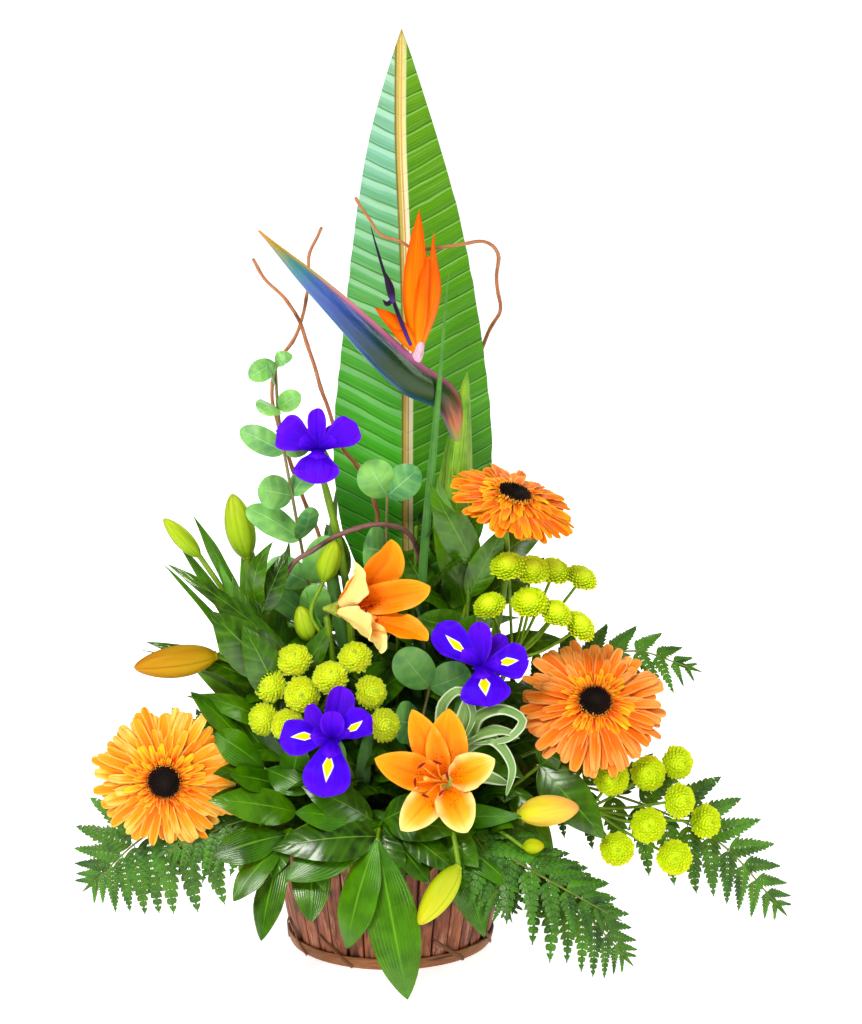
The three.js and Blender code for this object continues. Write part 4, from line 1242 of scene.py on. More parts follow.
@dataclass
class GreatLeaf:
    """Tall pleated blade on a stalk, behind the flowers."""

    path: tuple[Point, ...] = ((16, 44, 236), (17, 45, 394), (16.5, 48, 464), (14, 51.5, 533), (10, 57, 610),
                               (9, 60, 690))
    halves: tuple[tuple[float, float], ...] = (
        (0.0, 10), (0.06, 32), (0.12, 47), (0.18, 56), (0.28, 61), (0.35, 60), (0.42, 57), (0.50, 52.3),
        (0.655, 42.3), (0.81, 27), (0.885, 17.6), (0.945, 9.0), (0.98, 3.6), (1.0, 0.4))
    full_half: float = 64.0
    length: float = 454.0
    rise: float = 0.5
    period: float = 14.0
    rib: float = -0.06
    keel: float = 0.16

    def build(self, finishes: Finishes) -> None:
        """Build blade and stalk.

        The lift is a fold along the rib plus pleats: the root of the sine's size, read at the
        place along less the rise times the way out from the rib, over the period.

        Args:
            finishes: Materials by name.
        """
        shell = Shell()
        t = even(420)
        line = smooth_line(self.path, t)[None]
        half = smooth_line([(a * 100, b, 0) for a, b in self.halves], even(900))
        half = np.interp(t * 100, half[:, 0], half[:, 1])
        half = half * (1 + 0.016 * (value_noise(t * 45, t * 0, 2) - 0.5))

        def lift(s: Array, share: Array) -> Array:
            """Return the fold, the pleats and the raised rib."""
            reach = (s - self.rib) * half[:, None]
            fold = -self.keel * np.abs(reach) ** 1.1
            along = share * self.length - self.rise * np.abs(reach)
            along = along + 7 * value_noise(along / 21, reach * 0 + 2, 17)
            pleat = np.abs(np.sin(np.pi * along / self.period)) ** 0.6
            deep = 1.0 * np.minimum(1, np.abs(reach) / 14) * (half[:, None] / self.full_half) ** 0.5
            sway = 2.4 * np.sin(share * 9 + s * 1.2) * s**2
            rib = 2.0 * np.exp(-((reach / 4.2) ** 2))
            return fold + deep * pleat + sway + rib

        wide = np.broadcast_to(half[None, :, None] / self.full_half, (1, len(t), 96))
        shell.ribbons(line, half, FRONT, 49, lift, 0.9, wide, 0, t)
        stalk = smooth_line(rooted(12, 38, (14, 43, 180), (15, 44.5, 262)), even(30))
        shell.tube(stalk, np.linspace(4.4, 3.6, 30), 12, 0.5, 1)
        shell.piece("great_leaf_blade", [finishes["great_leaf"], finishes["stem_green"]],
                    ["great_leaf"], "great_leaf")


@dataclass
class BirdOfParadise:
    """Sheathed stem, boat-shaped spathe, orange sepals and the dark arrow petal."""

    spathe: tuple[tuple[Point, float, float], ...] = (
        ((52, 3, 388), 4.5, 4.5), ((42, 0, 420), 11, 8), ((17, -8, 437), 14, 9.5), ((-9, -13, 462), 13, 9),
        ((-32, -18, 486), 10.5, 7), ((-60, -23, 514), 7, 4.5), ((-94, -30, 548), 0.4, 0.4))
    stem: tuple[Point, ...] = ((49, 6, 265), (54, 6, 327), (53, 4, 370), (50, 2, 402))

    def build_spathe(self, finishes: Finishes) -> None:
        """Build the spathe: a lens-shaped ring carried along its line, with a groove on top.

        Args:
            finishes: Materials by name.
        """
        shell = Shell()
        t = even(80)
        knots = [p for p, _, _ in self.spathe]
        line = smooth_line(knots, t)
        steps = np.linalg.norm(np.diff(np.array(knots, float), axis=0), axis=1)
        chords = np.concatenate([[0], np.cumsum(steps)])
        share = chords / chords[-1]
        high = np.interp(t, share, [h for _, h, _ in self.spathe])
        wide = np.interp(t, share, [w for _, _, w in self.spathe])
        kernel = np.ones(9) / 9
        smooth = lambda a: np.convolve(np.pad(a, 4, mode="edge"), kernel, "valid")
        high, wide = smooth(high), smooth(wide)
        along = unit(np.gradient(line, axis=0))
        side = unit(np.cross(along, (0, 0, 1)))
        lift = np.cross(side, along)
        angle = 2 * np.pi * np.arange(40) / 40
        x = np.cos(angle) * np.abs(np.cos(angle)) ** 0.25
        y = np.sin(angle) - 0.22 * np.exp(-(((angle - np.pi / 2) / 0.16) ** 2))
        ring = (line[:, None] + side[:, None] * (wide[:, None] * x)[..., None]
                + lift[:, None] * (high[:, None] * y)[..., None])
        shell.rings(ring[None, :, ::-1], (np.arange(40) / 40)[::-1], t)
        stem = smooth_line(rooted(32, 6, *self.stem), even(60))
        shell.tube(stem, np.concatenate([np.full(40, 5.6), np.linspace(5.6, 4.2, 20)]), 16, 0.4, 1)
        neck = smooth_line([(13, -6, 444), (20, -8, 452), (23, -8, 461)], even(12))
        shell.tube(neck, np.linspace(6.0, 3.4, 12), 12, 0.5, 3)
        sheaths = (
            ((48, -4, 300), (52, -3, 372), (58, 4, 440), 31, (0.15, -1, 0.1)),
            ((42, 2, 205), (47, -2, 280), (47, -5, 368), 25, (-0.3, -1, 0.1)),
        )
        for low, middle, tip, width, face in sheaths:
            rows = eased(30)
            blade = smooth_line([low, middle, tip], rows)[None]
            half = Outline(0.1, 0.75, 0.6).half(rows, width)
            wrap = lambda s, share: -0.75 * half[:, None] * s**2
            shell.ribbons(blade, half, face, 11, wrap, 0.8, np.array([0.8]), 2, rows)
        shell.piece("bird_of_paradise_boat", [
            finishes["spathe"], finishes["stem_green"], finishes["sheath"], finishes["neck"]],
            ["bird_of_paradise_spathe"], "spathe")

    def build_sepals(self, finishes: Finishes) -> None:
        """Build the sepals: folded blades with waved margins and twisted tips.

        Args:
            finishes: Materials by name.
        """
        shell = Shell()
        blades = (
            ([(21, -8, 456), (19, -10, 500), (22.5, -8, 562)], 18, FRONT, 0.42),
            ([(23, -7, 457), (33, -5, 494), (33, -4, 544)], 14, FRONT_RIGHT, 0.4),
            ([(22, -9, 456), (25, -12, 492), (29, -9, 528)], 11, (0.3, -1, 0.2), 0.45),
            ([(20, -10, 458), (8, -15, 476), (-11, -17, 491)], 12, (0.1, -1, 0.4), 0.35),
            ([(20, -10, 456), (11, -16, 468), (-2, -18, 478)], 8, (0.1, -1, 0.6), 0.3),
        )
        for number, (path, width, face, keel) in enumerate(blades):
            t = eased(34)
            half = Outline(0.8, 1.05, 0.3).half(t, width)
            lift = lambda s, share: (-keel * half[:, None] * np.abs(s) ** 1.2
                                     + 1.1 * s * np.sin(share * 11 + number * 2))
            shell.ribbons(smooth_line(path, t)[None], half, face, 11, lift, 0.9,
                          np.array([number / 5]), 0, t)
        shell.piece("bird_of_paradise_sepal_fan", [finishes["sepal"]],
                    ["bird_of_paradise_sepals"], "sepal_orange")
        arrow = Shell()
        parts = (([(17, -13, 462), (7, -18, 488), (-1, -22, 512), (-13, -28, 552)],
                  5, (0.7, -0.6, 0.4), STRAP),
                 ([(4, -20.5, 494), (2, -22.5, 505), (-3.5, -24, 519)], 7, (0.6, -1, 0.2), LANCE),
                 ([(3, -20, 497), (-1, -21.5, 493.5), (-4.5, -22.5, 497)], 3.6, FRONT, LANCE))
        for path, width, face, outline in parts:
            t = eased(26)
            half = outline.half(t, width)
            arrow.ribbons(smooth_line(path, t)[None], half, face, 7,
                          lambda s, share: -0.5 * half[:, None] * np.abs(s), 1.6, np.array([0.5]), 0, t)
        arrow.piece("bird_of_paradise_arrow_petal", [finishes["arrow"]],
                    ["bird_of_paradise_arrow"], "arrow_purple")

    def build(self, finishes: Finishes) -> None:
        """Build every part of the flower."""
        self.build_spathe(finishes)
        self.build_sepals(finishes)


@dataclass
class Twig:
    """Curly twig that thins towards its tip, with small kinks and swollen nodes."""

    name: str
    path: list[Point]
    radius: float
    tip: float
    finish: str = "twig_bark"
    nodes: float = 34.0
    seed: int = 1

    def build(self, finishes: Finishes) -> None:
        """Build the twig: a tube whose line strays by noise and whose radius swells at nodes.

        Args:
            finishes: Materials by name.
        """
        shell = Shell()
        count = 150
        line = smooth_line(self.path, even(count))
        run = even(count) * np.linalg.norm(np.diff(line, axis=0), axis=1).sum()
        stray = np.stack([value_noise(run / 17, run * 0 + k, self.seed + k) - 0.5 for k in range(3)], -1)
        high = np.clip((line[:, 2] - 120) / 60, 0, 1)[:, None]
        line = line + 2.0 * stray * high
        radius = np.linspace(self.radius, self.tip, count)
        radius = radius * (1 + 0.22 * np.exp(-(((run % self.nodes) - self.nodes / 2) / 2.2) ** 2))
        bark = lambda a, t: 1 + 0.08 * np.sin(3 * a + t * 30)
        shell.tube(line, radius, 9, 0.5, 0, bark)
        shell.piece(self.name + "_bark", [finishes[self.finish]], [self.name],
                    "twig_purple" if self.finish == "twig_purple" else "twig_bark")


TWIGS = (
    Twig("twig_left", rooted(-8, 22, (-8, 24, 200), (-9, 24, 323), (-21, 22, 356), (-38, 18, 386),
                             (-49, 15, 417), (-58, 12, 447), (-67, 10, 474), (-77, 8, 493),
                             (-94, 6, 510), (-101, 5, 523)), 2.3, 1.2, seed=3),
    Twig("twig_short", rooted(-24, 24, (-30, 26, 200), (-52, 27, 300), (-80, 28, 380), (-89, 30, 426),
                              (-84, 30, 443), (-68, 28, 470), (-62, 28, 498), (-59, 26, 525),
                              (-51, 25, 545)), 2.1, 1.1, seed=5),
    Twig("twig_hooked", rooted(30, 60, (38, 78, 250), (56, 84, 380), (70, 80, 448), (80, 73, 468),
                               (84, 60, 484), (80, 47, 505), (82, 38, 524), (71, 29, 534),
                               (55, 21, 533), (38, 15, 531), (18, 14, 530), (7, 14, 536),
                               (-6, 15, 540), (-17, 18, 554), (-24, 20, 566)), 2.3, 1.1, seed=7),
    Twig("twig_arched", rooted(20, 16, (25, 13, 230), (21, 6, 304), (9, -4, 323), (-14, -14, 326),
                               (-37, -18, 320), (-54, -20, 311), (-70, -20, 300), (-80, -20, 286)),
         2.4, 1.8, "twig_purple", seed=9),
)


# ---- Blooms ----


@dataclass
class Gerbera:
    """Daisy with six layers of rays, a dark disc with a fringe of pollen, a cup and a stem."""

    name: str
    centre: Point
    axis: Point
    stem: list[Point]
    finish: str
    slot: str
    radius: float = 57.0
    sag: float = 3.0
    seed: int = 1
    layers: tuple[tuple[int, float, float, float, float], ...] = (
        (42, 1.0, 8.8, 0.0, 9.0), (40, 0.93, 8.2, 1.5, 8.5), (36, 0.76, 7.0, 2.8, 8.5),
        (48, 0.56, 4.8, 4.0, 8.5),
        (60, 0.43, 3.2, 5.0, 9.0), (64, 0.34, 2.2, 5.8, 9.4))
    disc_florets: int = 190

    def build_rays(self, finishes: Finishes) -> None:
        """Build the rays: each runs outward from the core and sags by the square of its share.

        Args:
            finishes: Materials by name.
        """
        shell = Shell()
        draw = np.random.default_rng(self.seed)
        along, first, second = across_axis(self.axis)
        centre = floats(self.centre)
        for count, reach, width, height, start in self.layers:
            angle = 2 * np.pi * (np.arange(count) + 0.5 * (height > 1)) / count
            angle = angle + (draw.random(count) - 0.5) * 3.2 / count
            out = first * np.cos(angle)[:, None] + second * np.sin(angle)[:, None]
            length = self.radius * reach * (0.86 + 0.16 * draw.random(count))
            lean = np.clip(-out[:, 2], 0, 1) * self.sag
            rise = (draw.random(count) - 0.35) * 5.5 - lean * 2.2
            base = centre + out * start + along * height
            tip = centre + out * length[:, None] + along * (height + rise)[:, None]
            tip = tip + np.cross(along, out) * ((draw.random(count) - 0.5) * 7)[:, None]
            middle = (base + tip) / 2 + along * (2.0 + 1.4 * draw.random(count) + 0.5 * lean)[:, None]
            t = eased(15)
            half = RAY.half(t, width)[None] * (0.85 + 0.3 * draw.random(count))[:, None]
            face = along + out * ((draw.random(count) - 0.5) * 0.6)[:, None]
            face = face + np.cross(along, out) * ((draw.random(count) - 0.5) * 0.7)[:, None]
            ridge = lambda s, share: 0.3 * np.cos(2 * np.pi * s) - 0.7 * s**2
            shell.ribbons(bowed(base, middle, tip, t), half, face, 5, ridge, 0.5, draw.random(count),
                          2 if reach < 0.6 else 0, t)
        cup = [(3.2, -17.0), (7.0, -14.5), (11.0, -9), (14.5, -4), (16, -1.5), (13, 1), (0.02, 1.4)]
        shell.turned(cup, centre, along, 40, 0.5, 1, lambda a, t: 1 + 0.05 * np.cos(20 * a))
        angle = 2 * np.pi * np.arange(34) / 34
        out = first * np.cos(angle)[:, None] + second * np.sin(angle)[:, None]
        base, tip = centre + out * 12 - along * 8, centre + out * 21 - along * 1.6
        t = eased(6)
        shell.ribbons(bowed(base, (base + tip) / 2 + out * 1.2 - along, tip, t), LANCE.half(t, 4.2),
                      out - along, 3, None, 0.6, draw.random(34), 1, t)
        shell.piece(self.name + "_ray_rings", [
            finishes[self.finish], finishes["stem_green"], finishes["gerbera_inner"]],
                    [self.name + "_rays"], self.slot)

    def build_disc(self, finishes: Finishes) -> None:
        """Build the disc: spiral buds on a dome, hooked florets round them and pollen tips.

        Args:
            finishes: Materials by name.
        """
        shell = Shell()
        draw = np.random.default_rng(self.seed + 50)
        along, first, second = across_axis(self.axis)
        centre = floats(self.centre) + along * 5.2
        dome = [(11.5, 0.0), (12, 2), (11, 4), (8, 5.2), (4, 5.0), (0.02, 4.2)]
        shell.turned(dome, centre, along, 36, 0.1, 0)
        number = np.arange(self.disc_florets)
        turn, run = number * GOLDEN_ANGLE, np.sqrt((number + 0.5) / self.disc_florets)
        out = first * np.cos(turn)[:, None] + second * np.sin(turn)[:, None]
        foot = centre + out * (run * 11.2)[:, None] + along * (3.2 + 1.6 * np.sin(run * 2.6))[:, None]
        tip = foot + along * (1.5 + 0.9 * run)[:, None] + out * (run * 1.1)[:, None]
        t = even(4)
        shell.ribbons(bowed(foot, (foot + tip) / 2, tip, t), np.array([0.5, 0.8, 0.7, 0.25]),
                      np.cross(along, out), 3, None, 1.1, draw.random(self.disc_florets) * 0.6, 0, t)
        for count, radius, height, length, size, finish in (
                (52, 11.4, 2.6, 2.8, 0.5, 1), (60, 12.8, 1.0, 4.0, 0.6, 3), (30, 9.8, 4.0, 2.2, 0.45, 2)):
            angle = 2 * np.pi * np.arange(count) / count + draw.random(count) * 0.1
            out = first * np.cos(angle)[:, None] + second * np.sin(angle)[:, None]
            foot = centre + out * radius + along * height
            tip = foot + out * (1.6 * draw.random(count))[:, None] + along * (
                length * (0.7 + 0.5 * draw.random(count)))[:, None]
            shell.ribbons(bowed(foot, (foot + tip) / 2 + out * 0.7, tip, t),
                          np.array([0.6, 0.8, 1.0, 0.7]) * size, out, 3, None, 0.9,
                          draw.random(count), finish, t)
        shell.piece(self.name + "_disc_florets", [
            finishes["disc"], finishes["pollen"], finishes["disc_ring"], finishes["disc_edge"]],
            [self.name + "_disc"], "gerbera_disc")

    def build(self, finishes: Finishes) -> None:
        """Build the whole flower.

        Args:
            finishes: Materials by name.
        """
        self.build_rays(finishes)
        self.build_disc(finishes)
        stem = Shell()
        along = unit(floats(self.axis))
        neck = floats(self.centre) - along * 15.5
        path = [*self.stem, tuple(neck - along * 6), tuple(neck)]
        stem.tube(smooth_line(path, even(50)), 2.9, 12, 0.5, 0)
        stem.piece(self.name + "_stalk", [finishes["stem_green"]], [self.name + "_stem"], "stem_green")


GERBERAS = (
    Gerbera("gerbera_left", (-165, -70, 147), (-0.05, -0.99, 0.02),
            rooted(-57, -24, (-72, -34, 138), (-118, -38, 152), (-152, -44, 150)), "gerbera_yellow",
            "gerbera_yellow", seed=11),
    Gerbera("gerbera_right", (152, -45, 195), (0.09, -0.7, 0.68),
            rooted(61, -17, (84, -18, 140), (122, -12, 158), (146, -20, 170)), "gerbera_orange",
            "gerbera_orange", seed=12),
    Gerbera("gerbera_upper", (90, -38, 348), (0.26, -0.3, 0.9),
            rooted(44, -6, (68, -6, 190), (84, -13, 270), (87, -19, 300), (86, -29, 322)),
            "gerbera_red", "gerbera_orange", 50.0, 4.0, 13),
)


@dataclass
class Lily:
    """Open trumpet of six tepals that curl back, with six stamens and a style."""

    name: str
    throat: Point
    axis: Point
    depth: float
    spread: float
    tepals: tuple[tuple[Point, float, Point, float], ...]
    stamen_aim: Point
    pale: tuple[int, ...]
    seed: int = 1

    def build(self, finishes: Finishes) -> None:
        """Build the tepals, each through throat, shoulder and tip, and the stamens.

        Args:
            finishes: Materials by name.
        """
        shell = Shell()
        draw = np.random.default_rng(self.seed)
        axis = unit(floats(self.axis))
        throat = floats(self.throat)
        for number, (tip, width, face, curl) in enumerate(self.tepals):
            tip = floats(tip)
            out = unit((tip - throat) - axis * ((tip - throat) @ axis))
            base = throat + out * 3
            shoulder = base + (tip - base) * 0.5 + axis * self.depth * 0.45
            t = eased(40)
            line = bowed(base[None], shoulder[None], tip[None], t)
            line = line - (axis * curl * np.maximum(t - 0.62, 0)[:, None] ** 2 * 7)[None]
            half = TEPAL.half(t, width)
            start = 40.0 * draw.random()
            lift = lambda s, share: (
                half[:, None] * 0.30 * np.abs(s) ** 1.6 - 1.0 * np.exp(-((s / 0.12) ** 2)) * (1 - share)
                + (1.7 * s**2 * np.sin(share * 19 + start + s) + 0.5 * np.sin(share * 43 + start) * s**4)
                * np.sin(np.pi * np.clip(share * 1.1, 0, 1)))
            shell.ribbons(line, half, unit(axis + floats(face) * 0.9), 17, lift, 0.8,
                          np.array([number / 5]), 2 if number in self.pale else 0, t)
        shell.turned([(1.5, -12), (2.4, -9), (5, -2), (6.4, 2), (3, 3), (0.02, 1)], throat, axis, 18, 0.5, 1)
        shell.piece(self.name + "_tepal_whorl",
                    [finishes["lily"], finishes["lily_green"], finishes["lily_pale"]],
                    [self.name + "_tepals"], "lily_orange")
        inner = Shell()
        aim, first, second = across_axis(unit(axis + floats(self.stamen_aim)))
        for k in range(6):
            angle = 2 * math.pi * k / 6 + 0.3
            out = first * math.cos(angle) + second * math.sin(angle)
            tip = throat + aim * 27 + out * (27 * self.spread + 2)
            line = smooth_line([throat + out * 1.5, throat + aim * 14 + out * 3.5, tip], even(14))
            inner.tube(line, np.linspace(0.85, 0.5, 14), 6, 0.5, 0)
            cross = unit(np.cross(aim, out) + aim * 0.3)
            anther = smooth_line([tip - cross * 3.0, tip + aim * 0.7, tip + cross * 3.0], even(9))
            inner.tube(anther, 1.0 * np.sin(np.pi * (0.16 + 0.68 * even(9))), 8, 0.3 + 0.1 * k, 1)
        line = smooth_line([throat, throat + aim * 18, throat + aim * 33 - first * 2], even(16))
        inner.tube(line, np.concatenate([np.full(12, 0.9), [1.0, 1.3, 1.9, 2.0]]), 9, 0.9, 2,
                   lambda a, t: 1 + 0.18 * np.cos(3 * a) * (t > 0.75))
        inner.piece(self.name + "_stamen_group", [
            finishes["filament"], finishes["anther"], finishes["filament"]],
            [self.name + "_stamens"], "lily_stamen")


LILIES = (
    Lily("lily_upper", (-38, -50, 271), (0.85, -0.5, 0.1), 22, 0.22, (
        ((5, -52, 324), 32, (-0.3, -0.7, -0.2), 4.0), ((-25, -76, 313), 22, (0.0, 1.1, 0.0), 1.0),
        ((33, -72, 293), 24, (-0.2, -0.8, 0.5), 3.0), ((32, -92, 257), 24, (-0.4, -0.5, 0.9), 4.0),
        ((-4, -86, 246), 24, (-0.4, 1.4, 0.3), 1.5), ((-13, -98, 259), 22, (0.1, 0.9, 0.1), 1.0)),
        (0.3, -0.15, -0.2), (1, 4, 5), 21),
    Lily("lily_lower", (42, -92, 151), (-0.05, -0.97, 0.22), 12, 0.4, (
        ((17, -100, 208), 25, (0.2, -0.6, -0.2), 3.0), ((44, -98, 208), 31, (0.0, -0.6, -0.2), 3.0),
        ((-10, -114, 175), 27, (0.4, -0.7, 0.2), 3.5), ((77, -112, 174), 27, (-0.5, -0.7, 0.2), 4.0),
        ((9, -124, 124), 27, (0.3, -0.4, 0.6), 4.0), ((57, -126, 123), 29, (-0.1, -0.4, 0.7), 4.0)),
        (-0.45, -0.1, 0.2), (3, 4, 5), 22),
)


@dataclass(frozen=True)
class Bud:
    """Closed lily bud: foot, tip and width, with its stem's path."""

    foot: Point
    tip: Point
    width: float
    stem: tuple[Point, ...] = ()
    finish: int = 2
    radius: float = 2.0

    def add(self, shell: Shell) -> None:
        """Add the bud, a spindle with six grooves, and its stem.

        Args:
            shell: Shell that gathers the bud.
        """
        foot, tip = floats(self.foot), floats(self.tip)
        length = float(np.linalg.norm(tip - foot))
        t = eased(26)
        girth = np.sin(np.pi * np.clip(t, 0, 1) ** 0.88) ** 0.58
        girth = np.maximum(girth, np.interp(t, [0, 0.06, 0.4, 1], [0.3, 0.3, 0, 0]))
        profile = np.stack([girth * self.width / 2, t * length], axis=-1)
        groove = lambda a, s: 1 - 0.17 * np.abs(np.cos(1.5 * a)) ** 5 - 0.05 * np.abs(np.sin(1.5 * a)) ** 12
        shell.turned(profile, foot, tip - foot, 36, 0.5, self.finish, groove)
        if self.stem:
            shell.tube(smooth_line([*self.stem, self.foot], even(18)), self.radius, 10, 0.5, 1)


@dataclass
class LilyStalk:
    """Stalk that stands in the foam and carries lance leaves and buds."""

    name: str
    path: list[Point]
    leaves: list[Leaf]
    buds: list[Bud]
    radius: float = 2.6
    seed: int = 1

    def build(self, finishes: Finishes) -> None:
        """Build the stalk with everything on it.

        Args:
            finishes: Materials by name.
        """
        shell = Shell()
        for bud in self.buds:
            bud.add(shell)
        draw = np.random.default_rng(self.seed)
        shell.tube(smooth_line(self.path, even(40)), self.radius, 12, 0.5, 1)
        for leaf in self.leaves:
            foot = (floats(leaf.foot) if isinstance(leaf.foot, tuple)
                    else smooth_line(self.path, np.array([leaf.foot]))[0])
            add_leaf(shell, foot, leaf, LANCE, 0.2, 0.7, float(draw.random()), rows=30)
        shell.piece(self.name + "_leafy", [
            finishes["lily_leaf"], finishes["stem_green"], finishes["bud_green"], finishes["bud_yellow"],
            finishes["bud_blush"]], [self.name], "lily_green")


LILY_STALKS = (
    LilyStalk("lily_stalk_left", rooted(-44, -8, (-66, -10, 160), (-92, -10, 215), (-106, -8, 250)), [
        Leaf(0.6, (-170, -12, 297), 13, UP, 8), Leaf(1.0, (-148, 2, 331), 13, UP, 5),
        Leaf(0.9, (-110, 14, 318), 20, FRONT, 4), Leaf(0.8, (-76, 6, 311), 18, FRONT, -3),
        Leaf(0.5, (-186, -34, 236), 9, UP, 18), Leaf(0.4, (-126, -24, 268), 20, FRONT_LEFT, 4),
        Leaf(0.7, (-80, -16, 258), 18, FRONT_RIGHT, 3), Leaf(0.75, (-162, -4, 316), 12, FRONT_UP, 6),
        Leaf(0.85, (-128, -18, 300), 15, FRONT_LEFT, 3)], [
        Bud((-142, -15, 303), (-168, -20, 333), 14, ((-104, -8, 244), (-122, -12, 272))),
        Bud((-108, 5, 297), (-119, 10, 346), 23, ((-105, -8, 246), (-107, 0, 272)), 2, 2.4)], seed=31),
    LilyStalk("lily_stalk_upper", rooted(-12, -26, (-24, -30, 160), (-40, -34, 216), (-46, -44, 262)), [
        Leaf(0.62, (-62, -36, 282), 14, FRONT_LEFT, 3)], [
        Bud((-49, -32, 288), (-40, -30, 318), 18, ((-43, -38, 240), (-58, -38, 264)), 2, 1.6),
        Bud((-57.5, -32, 241), (-67, -32, 269), 18, ((-38, -34, 208), (-52, -34, 222)), 2, 1.8)], seed=32),
    LilyStalk("lily_stalk_lower", rooted(22, -58, (30, -64, 118), (40, -74, 136), (42, -80, 146)), [
        Leaf(0.66, (98, -96, 126), 20, FRONT, 4)], [
        Bud((95, -89, 125.5), (139, -100, 134), 24, ((33, -68, 126), (64, -78, 118)), 4),
        Bud((98, -97, 103), (114, -98, 104), 12, ((70, -80, 117.5), (86, -90, 110)), 3, 1.4),
        Bud((51, -121.5, 97), (22, -138, 58), 22, ((31, -66, 120), (46, -106, 119)), 3, 1.8)], seed=33),
)


@dataclass
class Iris:
    """Iris with broad falls, narrow standards, style arms, a stem and one sheathing leaf."""

    name: str
    centre: Point
    petals: tuple[tuple[Point, float, Point], ...]
    stem: list[Point]
    leaf: tuple[Point, Point, Point]
    seed: int = 1
    falls: str = "iris_fall"

    def build(self, finishes: Finishes) -> None:
        """Build the petals: narrow haft, broad ruffled blade; then stem and leaf.

        Args:
            finishes: Materials by name.
        """
        shell = Shell()
        draw = np.random.default_rng(self.seed)
        centre = floats(self.centre)
        for number, (tip, width, face) in enumerate(self.petals):
            fall = number < 3
            tip = floats(tip)
            arch = unit(floats(face)) * (7 if fall else 4)
            line = bowed(centre[None], ((centre + tip) / 2 + arch)[None], tip[None], eased(34))
            t = eased(34)
            shape = Outline(1.0, 0.5, 0.4) if fall else Outline(0.8, 0.5, 0.3)
            half = shape.half(t, width)
            start = 30 * draw.random()
            lift = lambda s, share: (
                -half[:, None] * (0.16 if fall else -0.3) * s**2
                + (2.0 if fall else 1.0) * s**2 * np.sin(share * 17 + start + 2 * s) * share
                - 0.6 * np.exp(-((s / 0.1) ** 2)))
            shell.ribbons(line, half, face, 17, lift, 0.7, np.array([draw.random()]), 0 if fall else 1, t)
        for number in range(3):
            tip, width, face = self.petals[number]
            tip = centre + (floats(tip) - centre) * 0.38 + floats(face) * 5
            t = eased(18)
            half = Outline(0.5, 0.4, 0.4).half(t, width * 0.5)
            line = bowed(centre[None], ((centre + tip) / 2 + floats(face) * 4)[None], tip[None], t)
            shell.ribbons(line, half, face, 9, lambda s, share: -half[:, None] * 0.5 * s**2, 0.8,
                          np.array([0.9]), 1, t)
        shell.piece(self.name + "_bloom", [finishes[self.falls], finishes["iris_standard"]],
                    [self.name + "_petals"], "iris_violet")
        stem = Shell()
        path = [*self.stem, tuple(floats(self.centre) + (0, 5, -5))]
        radii = np.append(np.full(44, 2.9), np.linspace(2.9, 1.6, 6))
        stem.tube(smooth_line(path, even(50)), radii, 12, 0.5, 0)
        low, middle, tip = self.leaf
        t = eased(24)
        stem.ribbons(smooth_line([low, middle, tip], t)[None], STRAP.half(t, 12), FRONT, 7,
                     lambda s, share: -2.0 * s**2, 0.8, np.array([0.5]), 1, t)
        low = floats(self.centre) - (0, 0, 26)
        tip = floats(self.centre) + (2, 1, 4)
        stem.ribbons(bowed(low[None], ((low + tip) / 2 + (3, -3, 0))[None], tip[None], t),
                     LANCE.half(t, 13), FRONT, 7, lambda s, share: -3.0 * s**2, 0.8, np.array([0.8]), 1, t)
        stem.piece(self.name + "_stalk", [finishes["stem_green"], finishes["iris_leaf"]],
                   [self.name + "_stem"], "stem_green")


IRISES = (
    Iris("iris_left", (-53, -12, 384), (
        ((-82, -20, 402), 28, (-0.5, -1, 0.5)), ((-24, -18, 404), 24, (0.6, -1, 0.4)),
        ((-54, -34, 362), 34, (0, -1, 0.5)), ((-54, -8, 414), 14, (0, -1, 0.3)),
        ((-38, 6, 400), 14, (0.5, 1, 0.2)), ((-70, 6, 398), 14, (-0.6, 1, 0.2))),
        rooted(-18, -8, (-26, -6, 200), (-36, -5, 300), (-52, -9, 372)),
        ((-26, -6, 200), (-44, -2, 290), (-40, 2, 352)), 41, "iris_standard"),
    Iris("iris_front", (-41, -92, 184), (
        ((-79, -100, 186), 28, (-0.3, -1, 0.6)), ((-14, -98, 204), 25, (0.5, -1, 0.2)),
        ((-46, -120, 148), 35, (0, -1, 0.35)), ((-40, -104, 208), 18, (0, -1, 0.2)),
        ((-34, -80, 220), 22, (0.2, -1, 0.1)), ((-58, -80, 206), 16, (-0.5, -0.8, 0.2))),
        rooted(-18, -48, (-24, -58, 130), (-32, -72, 158), (-38, -82, 174)),
        ((-22, -54, 126), (-18, -49, 160), (-12, -46, 192)), 42),
    Iris("iris_right", (68, -66, 232), (
        ((35, -66, 262), 26, (-0.4, -1, 0.4)), ((102, -72, 238), 27, (0.4, -1, 0.4)),
        ((72, -92, 208), 37, (0, -1, 0.35)), ((66, -62, 264), 18, (0, -1, 0.2)),
        ((86, -46, 250), 15, (0.4, 1, 0.2)), ((50, -46, 248), 15, (-0.4, 1, 0.2))),
        rooted(38, -44, (44, -48, 140), (56, -52, 190), (65, -56, 222)),
        ((43, -47, 140), (53, -40, 190), (55, -36, 236)), 43),
)


